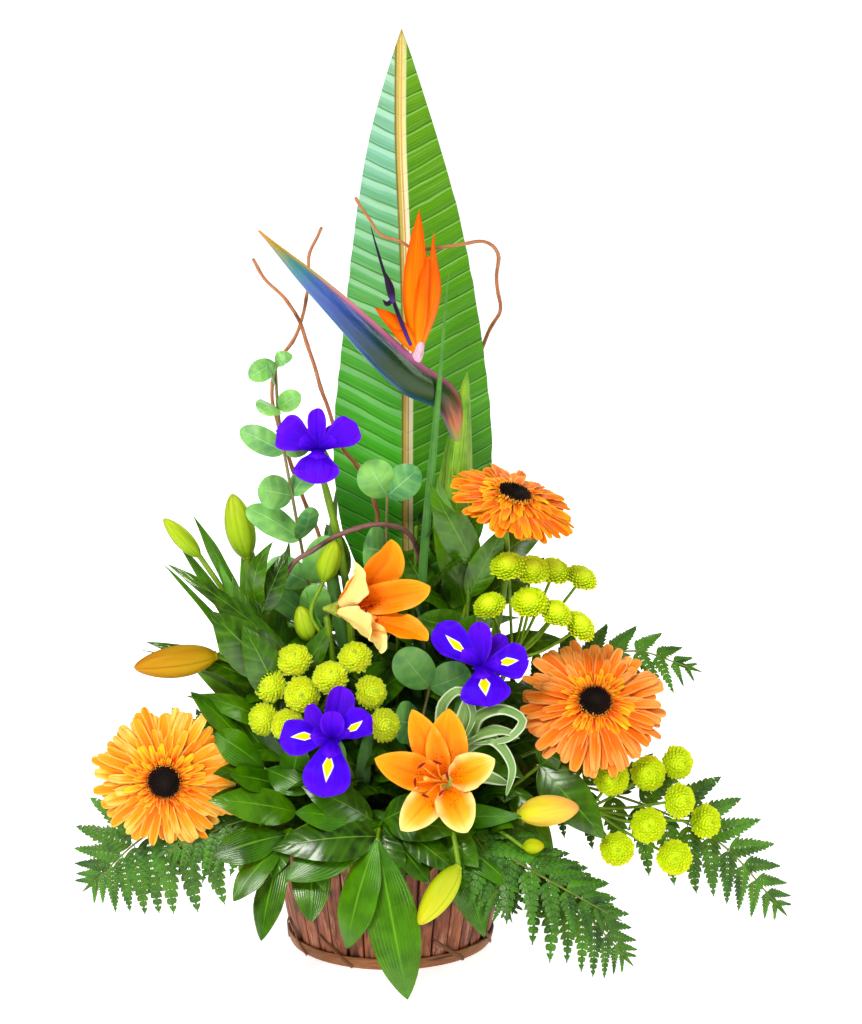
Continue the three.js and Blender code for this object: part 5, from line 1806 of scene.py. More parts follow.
@dataclass
class ButtonSpray:
    """Spray of button chrysanthemums: a stalk, branches, and heads of many small florets."""

    name: str
    path: list[Point]
    heads: tuple[tuple[Point, float, Point], ...]
    florets: int = 150
    swell: float = 1.1
    squash: float = 1.0
    seed: int = 1
    finish: str = "button"
    cap: float = 1.95
    uncurl: float = 0.25

    def build(self, finishes: Finishes) -> None:
        """Build the spray; floret i turns by i golden angles and leans out by the root of its share.

        Args:
            finishes: Materials by name.
        """
        shell = Shell()
        draw = np.random.default_rng(self.seed)
        shell.tube(smooth_line(self.path, even(24)), 2.0, 9, 0.5, 1)
        fork = floats(self.path[-1])
        for centre, radius, axis in self.heads:
            centre, radius = floats(centre), radius * self.swell
            along, first, second = across_axis(axis)
            number = np.arange(self.florets)
            share = np.sqrt((number + 0.5) / self.florets)
            polar = share * self.cap
            turn = number * GOLDEN_ANGLE + draw.random() * 6
            out = first * np.cos(turn)[:, None] + second * np.sin(turn)[:, None]
            aim = along * np.cos(polar)[:, None] + out * np.sin(polar)[:, None]
            flat = np.clip(polar - self.uncurl, 0, 2)
            aim_tip = along * np.cos(flat)[:, None] + out * np.sin(flat)[:, None]
            grow = radius * (0.68 + 0.32 * share) * (0.93 + 0.12 * draw.random(self.florets))
            base = centre + aim * (radius * 0.34) - along * radius * 0.2
            tip = centre + aim_tip * grow[:, None] - along * radius * 0.2
            tip = tip - along * ((tip - centre) @ along * (1 - self.squash))[:, None]
            middle = (base + tip) / 2 + (aim_tip - along * 0.4) * (radius * 0.10)
            t = np.array([0.0, 0.3, 0.62, 0.86, 1.0])
            half = np.array([0.4, 0.7, 1.0, 0.85, 0.3])[None] * (0.7 + 0.75 * share)[:, None]
            face = along * 1.0 - aim * 0.55 + out * 0.05
            shell.ribbons(bowed(base, middle, tip, t), half * radius / 11.0, face, 3,
                          lambda s, k: 0.45 * s**2, 0.45, np.clip(share + 0.1 * (draw.random(
                              self.florets) - 0.5), 0, 1), 0, t)
            core = [(0.3, -0.62), (0.32, -0.5), (0.5, -0.42), (0.6, -0.1), (0.5, 0.2), (0.25, 0.42),
                    (0.02, 0.46)]
            shell.turned([(r * radius, h * radius) for r, h in core], centre, along, 16, 0.2, 2)
            foot = centre - along * radius * 0.6
            bend = (fork + foot) / 2 + along * -4 + np.array([0, 2.0, -3.0])
            shell.tube(smooth_line([fork, bend, foot], even(14)), 1.15, 8, 0.5, 1)
        shell.piece(self.name + "_florets",
                    [finishes[self.finish], finishes["stem_green"], finishes["button_core"]],
                    [self.name], "button_lime")


SPRAYS = (
    ButtonSpray("chrysanthemum_spray_left", rooted(-32, -30, (-42, -34, 150), (-52, -36, 190)), (
        ((-70, -56, 235), 12.5, FRONT_UP), ((-89, -58, 215), 12.5, FRONT_LEFT), ((-64, -70, 211), 13, FRONT),
        ((-43, -68, 225), 12.5, FRONT_UP), ((-25, -60, 238), 12, FRONT_UP), ((-94, -64, 191), 12, FRONT_LEFT),
        ((-74, -76, 189), 12, FRONT), ((-12, -70, 213), 12, FRONT_RIGHT), ((-2, -80, 191), 12, FRONT_RIGHT)),
        seed=51, finish="button_bright"),
    ButtonSpray("chrysanthemum_spray_right_top", rooted(48, -26, (62, -24, 160), (92, -22, 226)), (
        ((88, -42, 303), 12, (-0.1, -0.5, 0.9)), ((106, -38, 299), 11.5, (0.1, -0.6, 0.8)),
        ((123, -28, 296), 11.5, (0.25, -0.45, 0.85)), ((144, -25, 290), 11, (0.4, -0.4, 0.8)),
        ((104, -48, 277), 12, (0, -0.6, 0.8)), ((74, -46, 274), 11, (-0.3, -0.5, 0.85)),
        ((124, -46, 268), 11, (0.3, -0.5, 0.8)), ((142, -36, 256), 12, (0.5, -0.4, 0.75))),
        swell=1.2, squash=0.72, seed=52),
    ButtonSpray("chrysanthemum_spray_right_low", rooted(59, -30, (65, -33, 108), (94, -42, 118),
                                                        (150, -44, 116)), (
        ((165, -66, 146), 12.5, FRONT), ((193, -54, 146), 12.5, FRONT), ((217, -42, 151), 12.5, FRONT_RIGHT),
        ((217, -64, 128), 12.5, FRONT_RIGHT), ((192, -74, 112), 12.5, FRONT),
        ((238, -52, 108), 12.5, FRONT_RIGHT), ((169, -78, 95), 12, FRONT), ((212, -74, 87), 12.5, FRONT)),
        seed=53),
)


# ---- Greenery ----


@dataclass
class Frond:
    """Fern frond: a rachis, pairs of pinnae, and toothed pinnules on each pinna."""

    name: str
    path: list[Point]
    first: float
    reach: float
    face: Point
    pairs: int = 9
    lobes: int = 9
    droop: float = 0.2
    lean: tuple[float, float] = (0.6, 0.95)
    seed: int = 1
    fills: bool = False
    pinnule_reach: float = 0.33
    pinnule_lean: float = 0.95
    pinnule_width: float = 0.5

    def build(self, finishes: Finishes) -> None:
        """Build the frond.

        A pinna's length is the reach times a sine of its place, and to its side direction is added
        the lean times the direction of the rachis. A pinnule's length is a share of its pinna's,
        less towards the pinna's tip.

        Args:
            finishes: Materials by name.
        """
        shell = Shell()
        draw = np.random.default_rng(self.seed)
        shell.tube(smooth_line(self.path, even(60)), np.linspace(1.7, 0.6, 60), 8, 0.3, 1)
        steps = 1 - (1 - np.linspace(0, 0.97, self.pairs)) ** 1.3
        place = np.repeat(self.first + (1 - self.first) * steps, 2)
        sign = np.tile([1.0, -1.0], self.pairs)
        sweep = smooth_line(self.path, np.clip(place, 0, 1))
        ahead = smooth_line(self.path, np.clip(place + 0.02, 0, 1)) - smooth_line(
            self.path, np.clip(place - 0.02, 0, 1))
        along = unit(ahead)
        face = unit(floats(self.face))
        out = unit(face - along * (along @ face)[:, None])
        side = np.cross(along, out) * sign[:, None]
        share = (place - self.first) / (1 - self.first)
        length = self.reach * np.clip(np.sin(np.pi * (0.26 + 0.68 * share)), 0.14, 1) ** 0.9
        length = length * (0.92 + 0.16 * draw.random(len(place)))
        lean = self.lean[0] + (self.lean[1] - self.lean[0]) * share
        aim = unit(side + along * lean[:, None] + out * (
            0.12 * (draw.random(len(place)) - 0.5))[:, None])
        tip = sweep + aim * length[:, None] + np.array([0, 0, -1.0]) * (length * self.droop)[:, None]
        middle = (sweep + tip) / 2 + out * (length * 0.07)[:, None]
        t = even(self.lobes + 3)
        ribs = bowed(sweep, middle, tip, t)
        wing = 0.4 + 15 * np.clip(t - 0.55, 0, 1) * (1 - t)
        shell.ribbons(ribs, wing, out, 3, None, 0.6, draw.random(len(place)), 0, t)
        q = (np.arange(self.lobes) + 0.6) / (self.lobes + 0.4)
        foot = bowed(sweep, middle, tip, q)
        later = bowed(sweep, middle, tip, q + 0.02)
        run = unit(later - foot)
        flat = np.cross(run, np.broadcast_to(out[:, None], run.shape))
        for hand in (1.0, -1.0):
            span = length[:, None] * self.pinnule_reach * (1 - q[None]) ** 0.8
            span = span * (0.9 + 0.2 * draw.random((len(place), len(q))))
            way = unit(flat * hand + run * self.pinnule_lean)
            end = foot + way * span[..., None] - out[:, None] * (span * 0.12)[..., None]
            bend = (foot + end) / 2 + out[:, None] * (span * 0.06)[..., None]
            base = foot.reshape(-1, 3)
            s = np.array([0.0, 0.2, 0.4, 0.55, 0.66, 0.8, 0.88, 1.0])
            gap = np.repeat(length, len(q))[:, None] / (self.lobes + 0.4)
            half = np.array([0.5, 0.86, 1.0, 0.92, 0.84, 0.62, 0.36, 0.05])[None] * gap * self.pinnule_width
            shell.ribbons(bowed(base, bend.reshape(-1, 3), end.reshape(-1, 3), s), half,
                          np.repeat(out, len(q), axis=0), 3, lambda a, b: -0.25 * a**2, 0.45,
                          np.repeat(draw.random(len(place)), len(q)), 0, s)
        end = smooth_line(self.path, np.array([0.955, 1.0]))
        tip = end[1] + unit(end[1] - end[0]) * 13
        s = even(7)
        shell.ribbons(bowed(end[:1], end[1:], tip[None], s), LANCE.half(s, 4.5), self.face, 3, None, 0.5,
                      np.array([0.5]), 0, s)
        shell.piece(self.name + "_pinnate", [finishes["fern"], finishes["fern_rachis"]],
                    () if self.fills else [self.name], "fern")


FRONDS = (
    Frond("fern_left", rooted(-55, -37, (-57, -38, 112), (-88, -46, 122), (-130, -46, 114),
                              (-180, -46, 97), (-222, -54, 62)), 0.5, 60, (-0.1, -1, 0.2), 11, 10, 0.1,
          (-0.4, 1.0), seed=61),
    Frond("fern_left_high", rooted(-64, -10, (-94, -20, 128), (-150, -14, 146), (-204, -14, 146)),
          0.42, 48, (-0.2, -1, 0.5), 10, 9, 0.05, seed=62),
    Frond("fern_right", rooted(66, -4, (68, -5, 112), (108, -18, 130), (174, -28, 120), (248, -40, 88),
                               (292, -49, 42)), 0.4, 52, (0.1, -1, 0.4), 12, 9, 0.1, (0.3, 1.0), seed=63),
    Frond("fern_right_low", rooted(43, -50, (66, -76, 114), (100, -94, 92), (146, -104, 52),
                                   (172, -108, 24)), 0.48, 46, (0.2, -0.9, 0.6), 10, 8, seed=64),
    Frond("fern_fill_right", rooted(40, -46, (58, -74, 112), (88, -98, 96), (128, -112, 76), (160, -114, 58)),
          0.44, 42, (0.1, -0.8, 0.7), 9, 8, seed=68, fills=True),
    Frond("fern_fill_rim", rooted(48, -54, (58, -80, 110), (72, -100, 96), (86, -112, 62)),
          0.5, 36, (0.2, -1, 0.4), 8, 7, seed=69, fills=True),
    Frond("fern_fill_left", rooted(-50, -30, (-64, -48, 116), (-110, -62, 112), (-164, -66, 90)),
          0.44, 42, (-0.1, -1, 0.5), 10, 8, seed=70, fills=True),
    Frond("fern_right_high", rooted(62, 10, (86, 10, 150), (128, 6, 206), (184, 2, 226), (226, 0, 214)),
          0.5, 46, (0.1, -0.7, 0.8), 9, 8, seed=65),
    Frond("fern_back_left", rooted(-36, 56, (-48, 78, 128), (-78, 108, 148), (-112, 132, 134)),
          0.48, 46, (-0.3, 0.7, 0.8), 11, 8, seed=66),
    Frond("fern_back_right", rooted(46, 47, (66, 74, 128), (90, 104, 150), (118, 130, 132)),
          0.48, 46, (0.3, 0.7, 0.8), 11, 8, seed=67),
)


def on_stem(steps: int, *rows: tuple) -> list[Leaf]:
    """Return leaves from rows of ring number, tip, width, face and arch on a stem of so many rings."""
    return [Leaf(row[0] / steps, *row[1:]) for row in rows]


ROUND_STEMS = (
    LeafyStem("eucalyptus_left", rooted(-32, 6, (-46, 4, 190), (-62, 2, 280), (-73, 3, 344), (-83, 4, 406),
                                        (-85, 5, 446)), on_stem(
        12, (12, (-104, -4, 436), 17, FRONT), (12, (-72, 2, 452), 12, FRONT_LEFT), (11, (-66, -4, 424), 16),
        (11, (-96, -14, 412), 20, FRONT_UP), (10, (-112, 6, 396), 20), (10, (-60, 22, 388), 20),
        (9, (-98, -14, 354), 26),
        (9, (-58, 16, 360), 22, UP), (8, (-108, 4, 336), 24, FRONT_UP), (8, (-60, -12, 340), 20, FRONT_RIGHT),
        (7, (-44, -14, 318), 24), (7, (-92, -6, 296), 24), (11.5, (-90, -16, 446), 14, FRONT_UP),
        (10.5, (-74, -20, 404), 15, FRONT_UP), (6, (-56, -16, 282), 24), (6, (-104, -16, 286), 22, FRONT_UP)),
        "eucalyptus", 1.5, "eucalyptus_stem", ROUND_LEAF, 0.1, 0.5, 71, "eucalyptus"),
    LeafyStem("eucalyptus_upper", rooted(-2, 8, (-4, 9, 200), (-3, 10, 300), (-2, 11, 344)), on_stem(
        7, (7, (-18, 2, 372), 29), (7, (22, 6, 366), 26), (6, (-20, -6, 308), 36)),
        "eucalyptus", 1.5, "eucalyptus_stem", ROUND_LEAF, 0.1, 0.5, 72, "eucalyptus"),
    LeafyStem("eucalyptus_middle", rooted(12, -26, (18, -30, 150), (30, -38, 208)), on_stem(
        5, (5, (8, -50, 240), 30, (-0.2, -1, 0.3)), (5, (60, -44, 222), 28, (0.4, -1, 0.2)),
        (4, (4, -62, 190), 32, (-0.1, -1, 0.4))),
        "eucalyptus", 1.5, "eucalyptus_stem", ROUND_LEAF, 0.1, 0.5, 73, "eucalyptus"),
)

GLOSSY_STEMS = (
    LeafyStem("ruscus_left", rooted(-48, -44, (-66, -54, 128), (-92, -62, 152)), on_stem(
        5, (5, (-128, -78, 184), 27, FRONT_UP, 4), (5, (-146, -66, 212), 25, UP, 6),
        (5, (-58, -82, 140), 25, FRONT_UP, 4), (4, (-116, -96, 158), 23, FRONT_UP, 3),
        (4, (-66, -78, 176), 23, FRONT, 4), (3, (-124, -48, 206), 25, FRONT_LEFT, 3),
        (3, (-130, -88, 138), 25, FRONT_UP, 5)), "leaf_glossy",
        outline=ELLIPTIC, seed=74),
    LeafyStem("ruscus_rim_left", rooted(-36, -56, (-54, -80, 116), (-74, -96, 112)), on_stem(
        5, (5, (-92, -134, 44), 27, FRONT_LEFT), (5, (-128, -112, 100), 29, FRONT_UP, 5),
        (4, (-56, -128, 56), 29, FRONT), (5, (-112, -128, 72), 23, FRONT_LEFT)), "leaf_glossy",
        outline=ELLIPTIC, seed=75),
    LeafyStem("ruscus_rim_front", rooted(-4, -66, (-6, -92, 118), (-8, -112, 114)), on_stem(
        5, (5, (14, -146, 4), 38, FRONT, 6), (5, (-30, -134, 38), 33, FRONT_LEFT, 5),
        (4, (-74, -122, 86), 36, FRONT_UP, 6), (4, (-68, -106, 132), 25, FRONT_UP, 5),
        (4, (30, -124, 84), 21, FRONT_RIGHT, 3)), "leaf_glossy",
        outline=ELLIPTIC, seed=76),
    LeafyStem("ruscus_rim_right", rooted(34, -58, (42, -88, 114), (50, -101, 106)), on_stem(
        5, (5, (70, -116, 40), 32, FRONT, 1), (4, (96, -117, 74), 25, FRONT_RIGHT, 3)),
        "leaf_glossy", seed=77),
    LeafyStem("broad_leaves_right", rooted(51, -41, (82, -54, 128), (112, -60, 154)), on_stem(
        5, (5, (160, -84, 104), 34, FRONT, 6), (4, (122, -88, 92), 22), (5, (126, -60, 168), 22)),
        "leaf_dark", 1.8, seed=78, slot="leaf_dark"),
    LeafyStem("broad_leaves_upper", rooted(32, -16, (38, -18, 160), (52, -14, 240), (63, -10, 290)), on_stem(
        9, (9, (122, 22, 322), 26, FRONT), (8, (118, 24, 294), 30, FRONT),
        (8, (36, -28, 366), 26, (-0.3, -1, 0.2), 6), (5, (76, -28, 270), 24, FRONT, 4),
        (5, (8, -28, 300), 15, FRONT_LEFT, 3)), "leaf_dark", 1.8, seed=79, slot="leaf_dark"),
    LeafyStem("broad_leaves_back", rooted(4, 62, (6, 76, 130), (8, 86, 160)), on_stem(
        5, (5, (-40, 112, 186), 34, BACK), (5, (60, 112, 182), 34, BACK), (4, (-20, 128, 104), 36, BACK),
        (4, (42, 130, 100), 36, BACK), (5, (10, 104, 214), 30, BACK)), "leaf_dark", 1.8, seed=80,
        slot="leaf_dark"),
)

STRAP_STEMS = (
    LeafyStem("strap_leaves_left", rooted(-58, 8, (-74, 6, 130), (-86, 4, 160)), on_stem(
        4, (4, (-150, -2, 214), 21, FRONT_UP, 10), (4, (-132, -6, 240), 23, FRONT, 8),
        (3, (-160, -16, 178), 21, FRONT_UP, 10), (4, (-104, 2, 226), 21, FRONT, 6)),
        "leaf_fresh", 2.0, "stem_green", LANCE, 0.2, 0.6, 81, "leaf_dark"),
    LeafyStem("variegated_straps", rooted(4, -50, (24, -58, 150), (52, -68, 172)), on_stem(
        5, (5, (96, -86, 182), 14, (0.2, -0.6, 0.9), 14), (5, (58, -76, 214), 15, FRONT, 6),
        (4, (88, -88, 148), 16, FRONT_RIGHT, 10)), "leaf_striped", 1.8, "stem_green", STRAP, 0.15, 0.6,
        82, "leaf_striped"),
)


FILLER_STEMS = (
    LeafyStem("undergrowth_straps", rooted(-50, -20, (-66, -30, 150), (-84, -38, 190), (-92, -36, 224)), [
        Leaf((-76, -38, 236), (-167, -16, 298), 15, FRONT_UP, 7),
        Leaf((-96, -32, 262), (-75, -22, 311), 19, FRONT, 6),
        Leaf((-98, -24, 262), (-86, -32, 318), 20, FRONT_LEFT, 14),
        Leaf((-84, -50, 220), (-132, -52, 270), 36, FRONT, 6),
        Leaf((-82, -52, 204), (-108, -60, 262), 30, (0.3, -1, 0.2), 6),
        Leaf(0.9, (-182, -34, 242), 17, FRONT_UP, 10),
        Leaf(0.7, (-150, -56, 206), 20, FRONT_UP, 14), Leaf(0.6, (-142, -46, 186), 20, FRONT_LEFT, 10),
        Leaf(0.95, (-118, -20, 290), 17, FRONT, 5), Leaf(0.8, (-40, -40, 262), 22, FRONT, 6)],
        "leaf_dark", 1.8, seed=83, slot="leaf_dark", fills=True),
    LeafyStem("undergrowth_rim_leaves", rooted(-18, -56, (-20, -80, 116), (-18, -90, 122)), [
        Leaf((-8, -106, 114), (-86, -112, 106), 36, FRONT_UP, 7),
        Leaf((-12, -94, 122), (-64, -92, 148), 30, FRONT_UP, 6),
        Leaf((-4, -92, 122), (34, -98, 138), 26, FRONT_UP, 5),
        Leaf((0, -96, 120), (54, -108, 118), 27, FRONT_UP, 6),
        Leaf((-68, -86, 126), (-132, -96, 138), 30, FRONT_UP, 6),
        Leaf((-60, -92, 118), (-46, -122, 78), 26, FRONT, 5),
        Leaf((10, -100, 116), (52, -118, 88), 22, FRONT_RIGHT, 5),
        Leaf((40, -92, 116), (66, -112, 92), 24, FRONT, 5),
        Leaf((-4, -104, 114), (8, -122, 78), 24, FRONT, 5),
        Leaf((-72, -92, 116), (-84, -116, 84), 24, FRONT_LEFT, 5)],
        "leaf_dark", 1.8, seed=85, slot="leaf_dark", fills=True),
    LeafyStem("undergrowth_broad", rooted(40, -14, (44, -20, 150), (56, -26, 230), (60, -24, 300)), [
        Leaf((64, -22, 296), (30, -26, 360), 27, FRONT, 6),
        Leaf((46, -46, 238), (76, -44, 268), 26, FRONT_RIGHT, 3),
        Leaf(0.9, (86, -30, 330), 22, FRONT, 4), Leaf(0.8, (20, -40, 262), 24, FRONT_LEFT, 4),
        Leaf(0.7, (96, -44, 236), 24, FRONT, 5), Leaf(0.6, (88, -56, 196), 26, FRONT_UP, 5),
        Leaf(0.45, (100, -74, 148), 30, FRONT_UP, 6), Leaf(0.4, (30, -80, 160), 26, FRONT_UP, 5)],
        "leaf_dark", 1.8, seed=84, slot="leaf_dark", fills=True),
)


@dataclass
class Undergrowth:
    """Low leafy stalks between the blooms, which close the gaps over the foam and the rim.

    Each stalk bends from the foam to its goal; its leaves stand at even shares of its upper part,
    turned by the golden angle, and lean outward from the middle of the basket.
    """

    name: str
    goals: tuple[Point, ...]
    leaves: int = 8
    length: float = 58.0
    width: float = 22.0
    finish: str = "leaf_dark"
    climb: tuple[float, float] = (0.1, 0.65)
    seed: int = 1

    def build(self, finishes: Finishes) -> None:
        """Build the stalks and their leaves as one piece.

        Args:
            finishes: Materials by name.
        """
        shell = Shell()
        draw = np.random.default_rng(self.seed)
        for goal in self.goals:
            goal = floats(goal)
            away = unit(np.array([goal[0], goal[1], 0.0]))
            foot = np.array([goal[0], goal[1], 0.0]) * min(1.0, 58 / max(np.hypot(goal[0], goal[1]), 1)) * 0.8
            bend = tuple((foot + goal) / 2 + (0, 0, 62 - goal[2] * 0.05))
            path = [(*foot[:2], 80.0), (*foot[:2], 98.0), bend, tuple(goal)]
            shell.tube(smooth_line(path, even(20)), 1.6, 7, 0.4, 1)
            start = draw.random() * 6
            for k in range(self.leaves):
                base = smooth_line(path, np.array([0.5 + 0.5 * k / (self.leaves - 1)]))[0]
                turn = start + k * GOLDEN_ANGLE
                aim = np.array([math.cos(turn), math.sin(turn) * 0.7,
                                self.climb[0] + (self.climb[1] - self.climb[0]) * draw.random()])
                aim = unit(aim + away * 0.45)
                tip = base + aim * self.length * (0.75 + 0.4 * draw.random())
                front = np.array([aim[0] * 0.25, -0.75, 0.75])
                face = unit(front if goal[1] < 30 else np.array([0, 0.75, 0.75]))
                leaf = Leaf(0.0, tuple(tip), self.width * (0.8 + 0.4 * draw.random()), tuple(face), 5.0, -6.0)
                add_leaf(shell, base, leaf, LANCE, 0.16, 0.7, float(draw.random()), 0, 14, 7)
        shell.piece(self.name, [finishes[self.finish], finishes["stem_green"]], (), self.finish)


UNDERGROWTH = (
    Undergrowth("undergrowth_left", (
        (-104, -52, 118), (-84, -58, 138), (-70, -40, 168), (-104, -30, 172), (-90, -6, 214), (-62, 2, 252),
        (-40, -34, 150)), seed=91),
    Undergrowth("undergrowth_middle", (
        (-10, -40, 148), (16, -36, 142), (-22, -18, 206), (6, -4, 238), (30, -2, 280), (46, -4, 190),
        (-34, 6, 282), (20, 20, 318), (52, 4, 330)), seed=92),
    Undergrowth("undergrowth_inner", (
        (40, 22, 214), (74, 20, 176), (88, 22, 140), (-66, 24, 186), (-36, 30, 212), (8, 34, 206),
        (60, 34, 150),
        (-80, 14, 142)), 8, 52.0, 22.0, seed=96),
    Undergrowth("undergrowth_right", (
        (66, -46, 122), (94, -44, 112), (72, -16, 226), (116, -30, 126), (84, -30, 168), (100, 4, 176),
        (62, -60, 100)), seed=93),
    Undergrowth("undergrowth_rim", (
        (2, -82, 122), (28, -84, 118), (62, -70, 116), (-28, -80, 120), (46, -76, 118), (80, -52, 114)),
        6, 44.0, 27.0, "leaf_glossy", (-0.9, 0.0), seed=95),
    Undergrowth("undergrowth_rear", (
        (-62, 62, 172), (-22, 74, 186), (32, 76, 196), (74, 62, 168), (-88, 38, 140), (94, 36, 136),
        (0, 62, 250), (-40, 50, 240), (44, 56, 262), (-10, 96, 120), (50, 96, 118), (-60, 90, 118)),
        9, 62.0, 26.0, seed=94),
)


@dataclass
class Straps:
    """Long narrow blades on drawn paths, folded along the middle, from one short stem."""

    name: str
    stem: list[Point]
    blades: tuple[tuple[float, tuple[Point, ...]], ...]
    finish: str
    replaces: tuple[str, ...] = ()
    face: Point = FRONT

    def build(self, finishes: Finishes) -> None:
        """Build the stem and the blades.

        Args:
            finishes: Materials by name.
        """
        shell = Shell()
        shell.tube(smooth_line(self.stem, even(16)), 2.4, 8, 0.5, 0)
        for width, path in self.blades:
            t = eased(60)
            half = Outline(0.1, 0.5, 0.5).half(t, width)
            shell.ribbons(smooth_line(path, t)[None], half, self.face, 5,
                          lambda s, share: -0.2 * half[:, None] * np.abs(s), 0.6, np.array([width / 16]), 0,
                          t)
        shell.piece(self.name, [finishes[self.finish]], self.replaces, self.finish)


STRAPS = (
    Straps("grass_blades_long", rooted(17, -6, (19, -6, 160)), (
        (5.5, ((17, -6, 96), (26, -12, 295), (35, -15, 400), (40, -14, 470), (44, -12, 516))),
        (5, ((18, -6, 110), (24, -11, 295), (33, -13, 400), (39, -12, 462))),
        (4, ((17, -6, 100), (21, -8, 250), (28, -12, 350), (34, -10, 420)))), "grass", ("grass_blades",)),
    Straps("undergrowth_loops", rooted(20, -52, (30, -58, 130)), (
        (11, ((30, -58, 124), (58, -72, 176), (66, -82, 198), (84, -88, 205), (98, -86, 196), (88, -90, 184),
              (62, -86, 178))),
        (12, ((31, -58, 124), (56, -76, 172), (76, -88, 182), (90, -94, 164), (86, -98, 142))),
        (10, ((29, -58, 124), (38, -70, 176), (40, -76, 206), (52, -80, 217), (62, -80, 200),
              (54, -78, 176)))),
        "leaf_striped", (), (0.1, -0.8, 0.6)),
)


# ---- Colours, studio and assembly ----


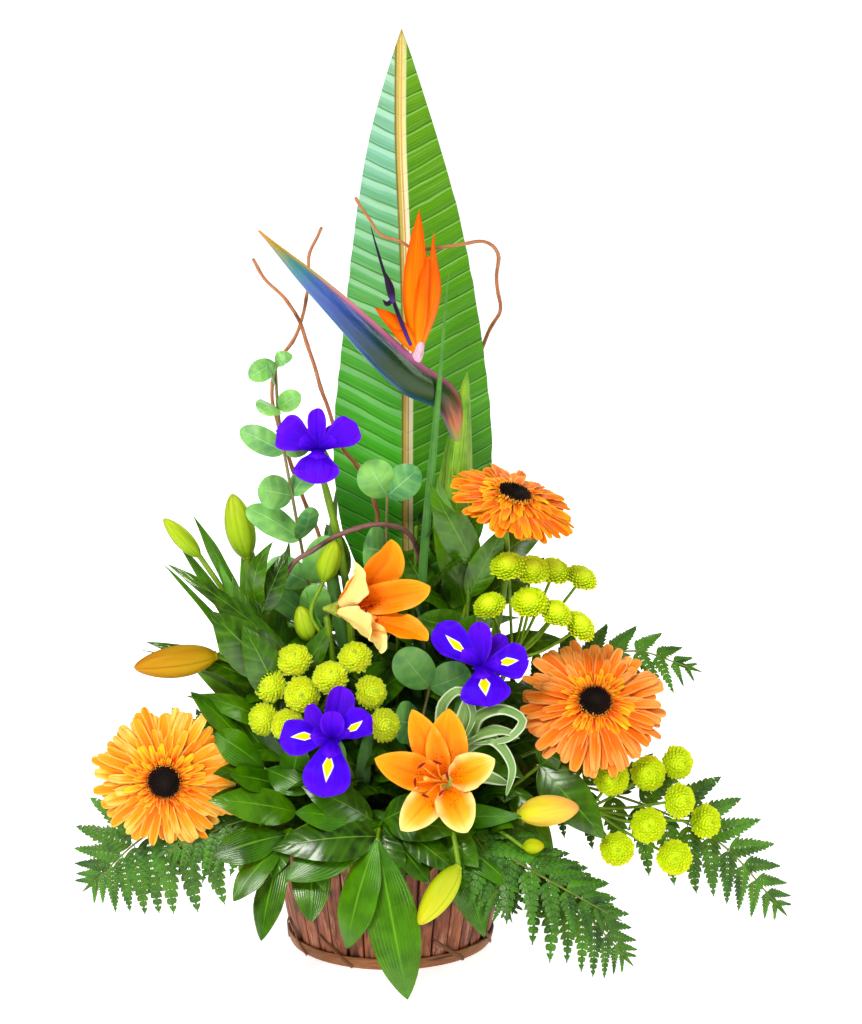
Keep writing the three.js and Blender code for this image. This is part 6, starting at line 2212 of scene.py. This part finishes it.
def make_finishes() -> Finishes:
    """Make every material once and return them by name.

    Returns:
        Materials by name.
    """
    makers = (
        WoodFinish("bark", rgb(0x4A1C0C), rgb(0xC0744E), rgb(0x100602), (1.0, 1.0, 0.06), 420.0, 0.55,
                   pale=rgb(0xE0A890)),
        WoodFinish("hoop_wood", rgb(0x78401E), rgb(0xC08450), rgb(0x4A2818), (5.0, 22.0, 1.0), 1.6, 0.5,
                   True),
        WoodFinish("tie_wood", rgb(0x5A3018), rgb(0xA87048), rgb(0x2A160C), (5.0, 3.0, 1.0), 1.6, 0.5, True),
        GrainFinish("liner_sheet", rgb(0xA8AF9C), rgb(0xE4E6DC), 70.0, 0.28, 0.4),
        GrainFinish("wet_foam", rgb(0x1D3A1C), rgb(0x4F7040), 1500.0, 0.95, 0.9),
        GreatLeafFinish("great_leaf"),
        SpatheFinish("spathe"),
        StemFinish("stem_green", rgb(0x4C7404), rgb(0x92B41C)),
        StemFinish("sheath", rgb(0x3E8404), rgb(0x9CC038)),
        StemFinish("neck", rgb(0xC88AA8), rgb(0xF0D4D8)),
        PetalFinish("sepal", ((0.0, 0xFAA008), (0.2, 0xFA7C00), (0.6, 0xF46400), (1.0, 0xDC4400)),
                    rgb(0xC83C00), 0.6, 0.55, 22.0, 0.5, rgb(0xFC9400), gloss=0.4, shine=0.12),
        PetalFinish("arrow", ((0.0, 0x5A3A9A), (0.3, 0x241438), (1.0, 0x2E2034)), rgb(0x4A3A5A), 0.4, 0.6,
                    10.0, 0.3, rgb(0x120C18)),
        WoodFinish("twig_bark", rgb(0x8A4A28), rgb(0xD89868), rgb(0x5A2E18), (5.0, 40.0, 1.0), 1.6, 0.62,
                   True),
        WoodFinish("twig_purple", rgb(0x6A4448), rgb(0xA87A70), rgb(0x3A2228), (5.0, 40.0, 1.0), 1.6, 0.6,
                   True),
        PetalFinish("gerbera_yellow", ((0.0, 0xD84800), (0.25, 0xE87200), (0.6, 0xF89604), (0.85, 0xFCAE20),
                                       (1.0, 0xFFCC60)), rgb(0xFFD878), 0.5, 0.5, 16.0, 0.7, rgb(0xE46000),
                    rgb(0xF8A83C), spread=0.5),
        PetalFinish("gerbera_orange", ((0.0, 0xE03C00), (0.3, 0xF26800), (0.7, 0xFA8A14), (1.0, 0xFFB058)),
                    rgb(0xFFC070), 0.55, 0.5, 16.0, 0.7, rgb(0xE04800), rgb(0xF2A050), spread=0.45),
        PetalFinish("gerbera_red", ((0.0, 0xD83400), (0.4, 0xF06000), (0.75, 0xFA8608), (1.0, 0xFCB41C)),
                    rgb(0xFFC430), 0.6, 0.45, 16.0, 0.7, rgb(0xD83C00), rgb(0xF8A828), spread=0.4),
        PetalFinish("gerbera_inner", ((0.0, 0xB82C00), (0.4, 0xE04800), (0.62, 0xF48C08), (1.0, 0xFFCC20)),
                    rgb(0xFFD440), 0.55, 0.4, 8.0, 0.45, rgb(0xD83C00), rgb(0xF0A020), spread=0.4),
        GrainFinish("disc", rgb(0x0C0604), rgb(0x3A2418), 1500.0, 0.7, 0.5),
        GrainFinish("disc_ring", rgb(0x5A1808), rgb(0xA83810), 1500.0, 0.6, 0.4),
        GrainFinish("pollen", rgb(0xD89020), rgb(0xF4D070), 1400.0, 0.8, 0.5),
        GrainFinish("disc_edge", rgb(0xC87A10), rgb(0xF4B828), 1400.0, 0.7, 0.5),
        PetalFinish("lily", ((0.0, 0xC84600), (0.18, 0xEE7C00), (0.45, 0xF88C00), (0.75, 0xFA9A02),
                             (1.0, 0xFCB020)), rgb(0xFFC040), 0.4, 0.6, 24.0, 0.35, rgb(0xF27200),
                    rgb(0xFCC878), rgb(0xF07400), speckle=rgb(0x7A1404), gloss=0.45, glow=0.1),
        PetalFinish("lily_pale", ((0.0, 0xE06000), (0.2, 0xF88800), (0.5, 0xFDA410), (0.78, 0xFEBC38),
                                  (1.0, 0xFFE890)), rgb(0xFFF0A8), 0.65, 0.45, 24.0, 0.35, rgb(0xFA9000),
                    rgb(0xFFE694), rgb(0xF68C04), speckle=rgb(0x7A1404), gloss=0.45, glow=0.1),
        StemFinish("lily_green", rgb(0x8A9A2A), rgb(0xC2C458)),
        GrainFinish("filament", rgb(0xE07A10), rgb(0xF4B848), 500.0, 0.5, 0.2),
        GrainFinish("anther", rgb(0x6A0A10), rgb(0xA82020), 1800.0, 0.85, 0.6),
        LeafFinish("lily_leaf", rgb(0x2A6400), rgb(0x5CA00A), rgb(0x8AC028), rgb(0x72A824), Veins.PARALLEL,
                   6.0,
                   0.07, 0.4, 0.25, 0.3),
        PetalFinish("bud_green", ((0.0, 0x6A9212), (0.4, 0x9CBC16), (0.8, 0xBCCB28), (1.0, 0xA0AC24)),
                    rgb(0xACC42A), 0.3, 0.5, 9.0, 0.6, rgb(0x6A8210)),
        PetalFinish("bud_yellow", ((0.0, 0x7CA00C), (0.3, 0xA8BC08), (0.75, 0xC4C40C), (1.0, 0xB89C18)),
                    rgb(0xF0EA50), 0.3, 0.5, 9.0, 0.6, rgb(0xA4AE08)),
        PetalFinish("bud_blush", ((0.0, 0xA8BC1C), (0.3, 0xDED42C), (0.75, 0xECC448), (1.0, 0xE08C60)),
                    rgb(0xF4A080), 0.5, 0.3, 9.0, 0.55, rgb(0xE09A60)),
        PetalFinish("bud_orange", ((0.0, 0x788A00), (0.2, 0xA08C04), (0.6, 0xB48008), (1.0, 0xB06408)),
                    rgb(0xD0A408), 0.4, 0.4, 9.0, 0.6, rgb(0x986404)),
        PetalFinish("iris_fall", ((0.0, 0x3A00C0), (0.4, 0x4A00DE), (0.8, 0x5400EA), (1.0, 0x6010F0)),
                    rgb(0x6A28F0), 0.3, 0.75, 30.0, 0.5, rgb(0x2A0090), gloss=0.5, shine=0.1,
                    signal=rgb(0xFFD400)),
        PetalFinish("iris_standard", ((0.0, 0x3C00B0), (0.5, 0x5604DC), (1.0, 0x6A10EC)), rgb(0x7A30E8), 0.3,
                    0.7, 30.0, 0.5, rgb(0x2E0090), gloss=0.5, shine=0.1),
        LeafFinish("iris_leaf", rgb(0x3E7030), rgb(0x6A9A4A), rgb(0x7AA85A), rgb(0x7AA060), Veins.PARALLEL,
                   5.0, 0.05, 0.2, 0.25, 0.38),
        PetalFinish("button", ((0.0, 0xC8E000), (0.4, 0xDCF000), (0.75, 0xECFA10), (1.0, 0xF6FF3C)),
                    rgb(0xF8FF50), 0.35, 0.5, 6.0, 0.15, rgb(0xC4E000), gloss=0.6, glow=0.5),
        PetalFinish("button_bright", ((0.0, 0xDCEC00), (0.4, 0xF0FA08), (0.75, 0xFCFF28), (1.0, 0xFFFF68)),
                    rgb(0xFFFF80), 0.35, 0.5, 6.0, 0.1, rgb(0xE4F000), gloss=0.6, glow=0.6),
        GrainFinish("button_core", rgb(0xC8E000), rgb(0xE8F420), 1600.0, 0.7, 0.3),
        LeafFinish("eucalyptus", rgb(0x3E8854), rgb(0x9AD868), rgb(0xB8E0A0), rgb(0x9AC890), Veins.FEATHERED,
                   4.0, 0.05, 0.5, 0.22, 0.44, 0.4),
        StemFinish("eucalyptus_stem", rgb(0x6A6A3A), rgb(0x9A8A5A)),
        LeafFinish("leaf_glossy", rgb(0x123800), rgb(0x508C00), rgb(0x80BC28), rgb(0x5E9A20), Veins.PARALLEL,
                   7.0, 0.06, 0.55, 0.35, 0.24),
        LeafFinish("leaf_dark", rgb(0x143200), rgb(0x548A00), rgb(0x78AC20), rgb(0x528A14), Veins.FEATHERED,
                   7.0, 0.05, 0.6, 0.28, 0.26),
        LeafFinish("leaf_fresh", rgb(0x347A06), rgb(0x86C038), rgb(0x9AD054), rgb(0x7AAE3A), Veins.PARALLEL,
                   5.0, 0.06, 0.3, 0.3, 0.32),
        LeafFinish("leaf_striped", rgb(0x5E8A3A), rgb(0x8AAE62), rgb(0xC2D49A), rgb(0xA8C08A), Veins.PARALLEL,
                   4.0, 0.06, 0.4, 0.3, 0.34, edge=rgb(0xCCDAB4)),
        LeafFinish("grass", rgb(0x2E6A1C), rgb(0x5A9A34), rgb(0x8ABE5A), rgb(0x5A8A3A), Veins.PARALLEL, 3.0,
                   0.1, 0.35, 0.25, 0.36),
        LeafFinish("fern", rgb(0x103A04), rgb(0x50900A), rgb(0x6CA420), rgb(0x5E8A30), Veins.FEATHERED, 3.0,
                   0.12, 0.45, 0.2, 0.4),
        StemFinish("fern_rachis", rgb(0x5A6A22), rgb(0x8A9440)),
    )
    return {maker.name.replace("_blade", "").replace("_skin", ""): maker.make() for maker in makers}


@dataclass
class Studio:
    """Pale floor, soft lights and a camera at the photo's viewing angle."""

    place: Point = (0.031, -2.0, 0.730)
    pitch: float = 78.8
    lens: float = 95.4
    sensor: float = 36.0
    target: Point = (0.0, 0.0, 0.28)
    floor_half: float = 9.0
    floor_glow: float = 0.62
    air_level: float = 0.44
    seen_gain: float = 0.61
    gloss_gain: float = -0.26

    def build(self) -> None:
        """Build floor, world, three area lights and the camera."""
        scene = bpy.context.scene
        mesh = bpy.data.meshes.new("studio_floor")
        far = self.floor_half
        mesh.from_pydata([(-far, -far, 0), (far, -far, 0), (far, far, 0), (-far, far, 0)], [], [(0, 1, 2, 3)])
        floor = bpy.data.objects.new("studio_floor", mesh)
        scene.collection.objects.link(floor)
        w = Weave("studio_paper")
        mesh.materials.append(w.finish(
            w.mix(w.grain(4, 2), (0.90, 0.90, 0.93), (0.92, 0.92, 0.95)), 0.9,
            Emission_Color=(0.97, 0.97, 1.0, 1.0), Emission_Strength=self.floor_glow))
        world = bpy.data.worlds.new("studio_air")
        world.use_nodes = True
        air = world.node_tree.nodes["Background"]
        air.inputs["Color"].default_value = (1.0, 1.0, 1.0, 1.0)
        ray = world.node_tree.nodes.new("ShaderNodeLightPath")
        level: object = self.air_level
        for label, gain in (("Is Camera Ray", self.seen_gain), ("Is Glossy Ray", self.gloss_gain)):
            step = world.node_tree.nodes.new("ShaderNodeMath")
            step.operation = "MULTIPLY_ADD"
            world.node_tree.links.new(ray.outputs[label], step.inputs[0])
            step.inputs[1].default_value = gain
            if isinstance(level, float):
                step.inputs[2].default_value = level
            else:
                world.node_tree.links.new(level, step.inputs[2])
            level = step.outputs[0]
        world.node_tree.links.new(level, air.inputs["Strength"])
        scene.world = world
        for name, place, size, power, colour in (
                ("key", (-0.9, -1.5, 1.9), 0.8, 34.0, (1.0, 0.98, 0.95)),
                ("fill", (1.6, -1.3, 1.2), 0.8, 7.0, (0.95, 0.97, 1.0)),
                ("back", (0.4, 1.7, 1.8), 1.3, 14.0, (1.0, 1.0, 1.0))):
            lamp = bpy.data.lights.new(name, "AREA")
            lamp.shape, lamp.size, lamp.energy, lamp.color = "DISK", size, power, colour
            light = bpy.data.objects.new(name, lamp)
            light.location = place
            to = np.array(self.target) - np.array(place)
            light.rotation_euler = (math.pi / 2 + math.atan2(to[2], math.hypot(to[0], to[1])), 0.0,
                                    math.atan2(to[1], to[0]) - math.pi / 2)
            scene.collection.objects.link(light)
        camera = bpy.data.objects.new("camera", bpy.data.cameras.new("camera"))
        camera.location = self.place
        camera.rotation_euler = (math.radians(self.pitch), 0.0, 0.0)
        camera.data.lens, camera.data.sensor_width = self.lens, self.sensor
        scene.collection.objects.link(camera)
        scene.camera = camera
        scene.view_settings.view_transform = "Standard"
        scene.view_settings.look = "Medium High Contrast"


def main() -> None:
    """Build the arrangement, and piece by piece."""
    logging.basicConfig(level=logging.INFO, format="%(message)s")
    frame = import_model()
    finishes = make_finishes()
    Basket().build(frame, finishes)
    GreatLeaf().build(finishes)
    BirdOfParadise().build(finishes)
    for part in (*TWIGS, *GERBERAS, *LILIES, *LILY_STALKS, *IRISES, *SPRAYS, *FRONDS, *ROUND_STEMS,
                 *GLOSSY_STEMS, *STRAP_STEMS, *FILLER_STEMS, *UNDERGROWTH, *STRAPS):
        part.build(finishes)
    orange = Shell()
    Bud((-128, -45.5, 234.4), (-188, -60, 229), 25, (
        (-84, -12, 196), (-108, -34, 222)), 0, 2.0).add(orange)
    orange.piece("lily_bud_orange_closed", [finishes["bud_orange"], finishes["stem_green"]],
                 ["lily_bud_orange"], "lily_bud")
    Studio().build()


if __name__ == "__main__":
    main()
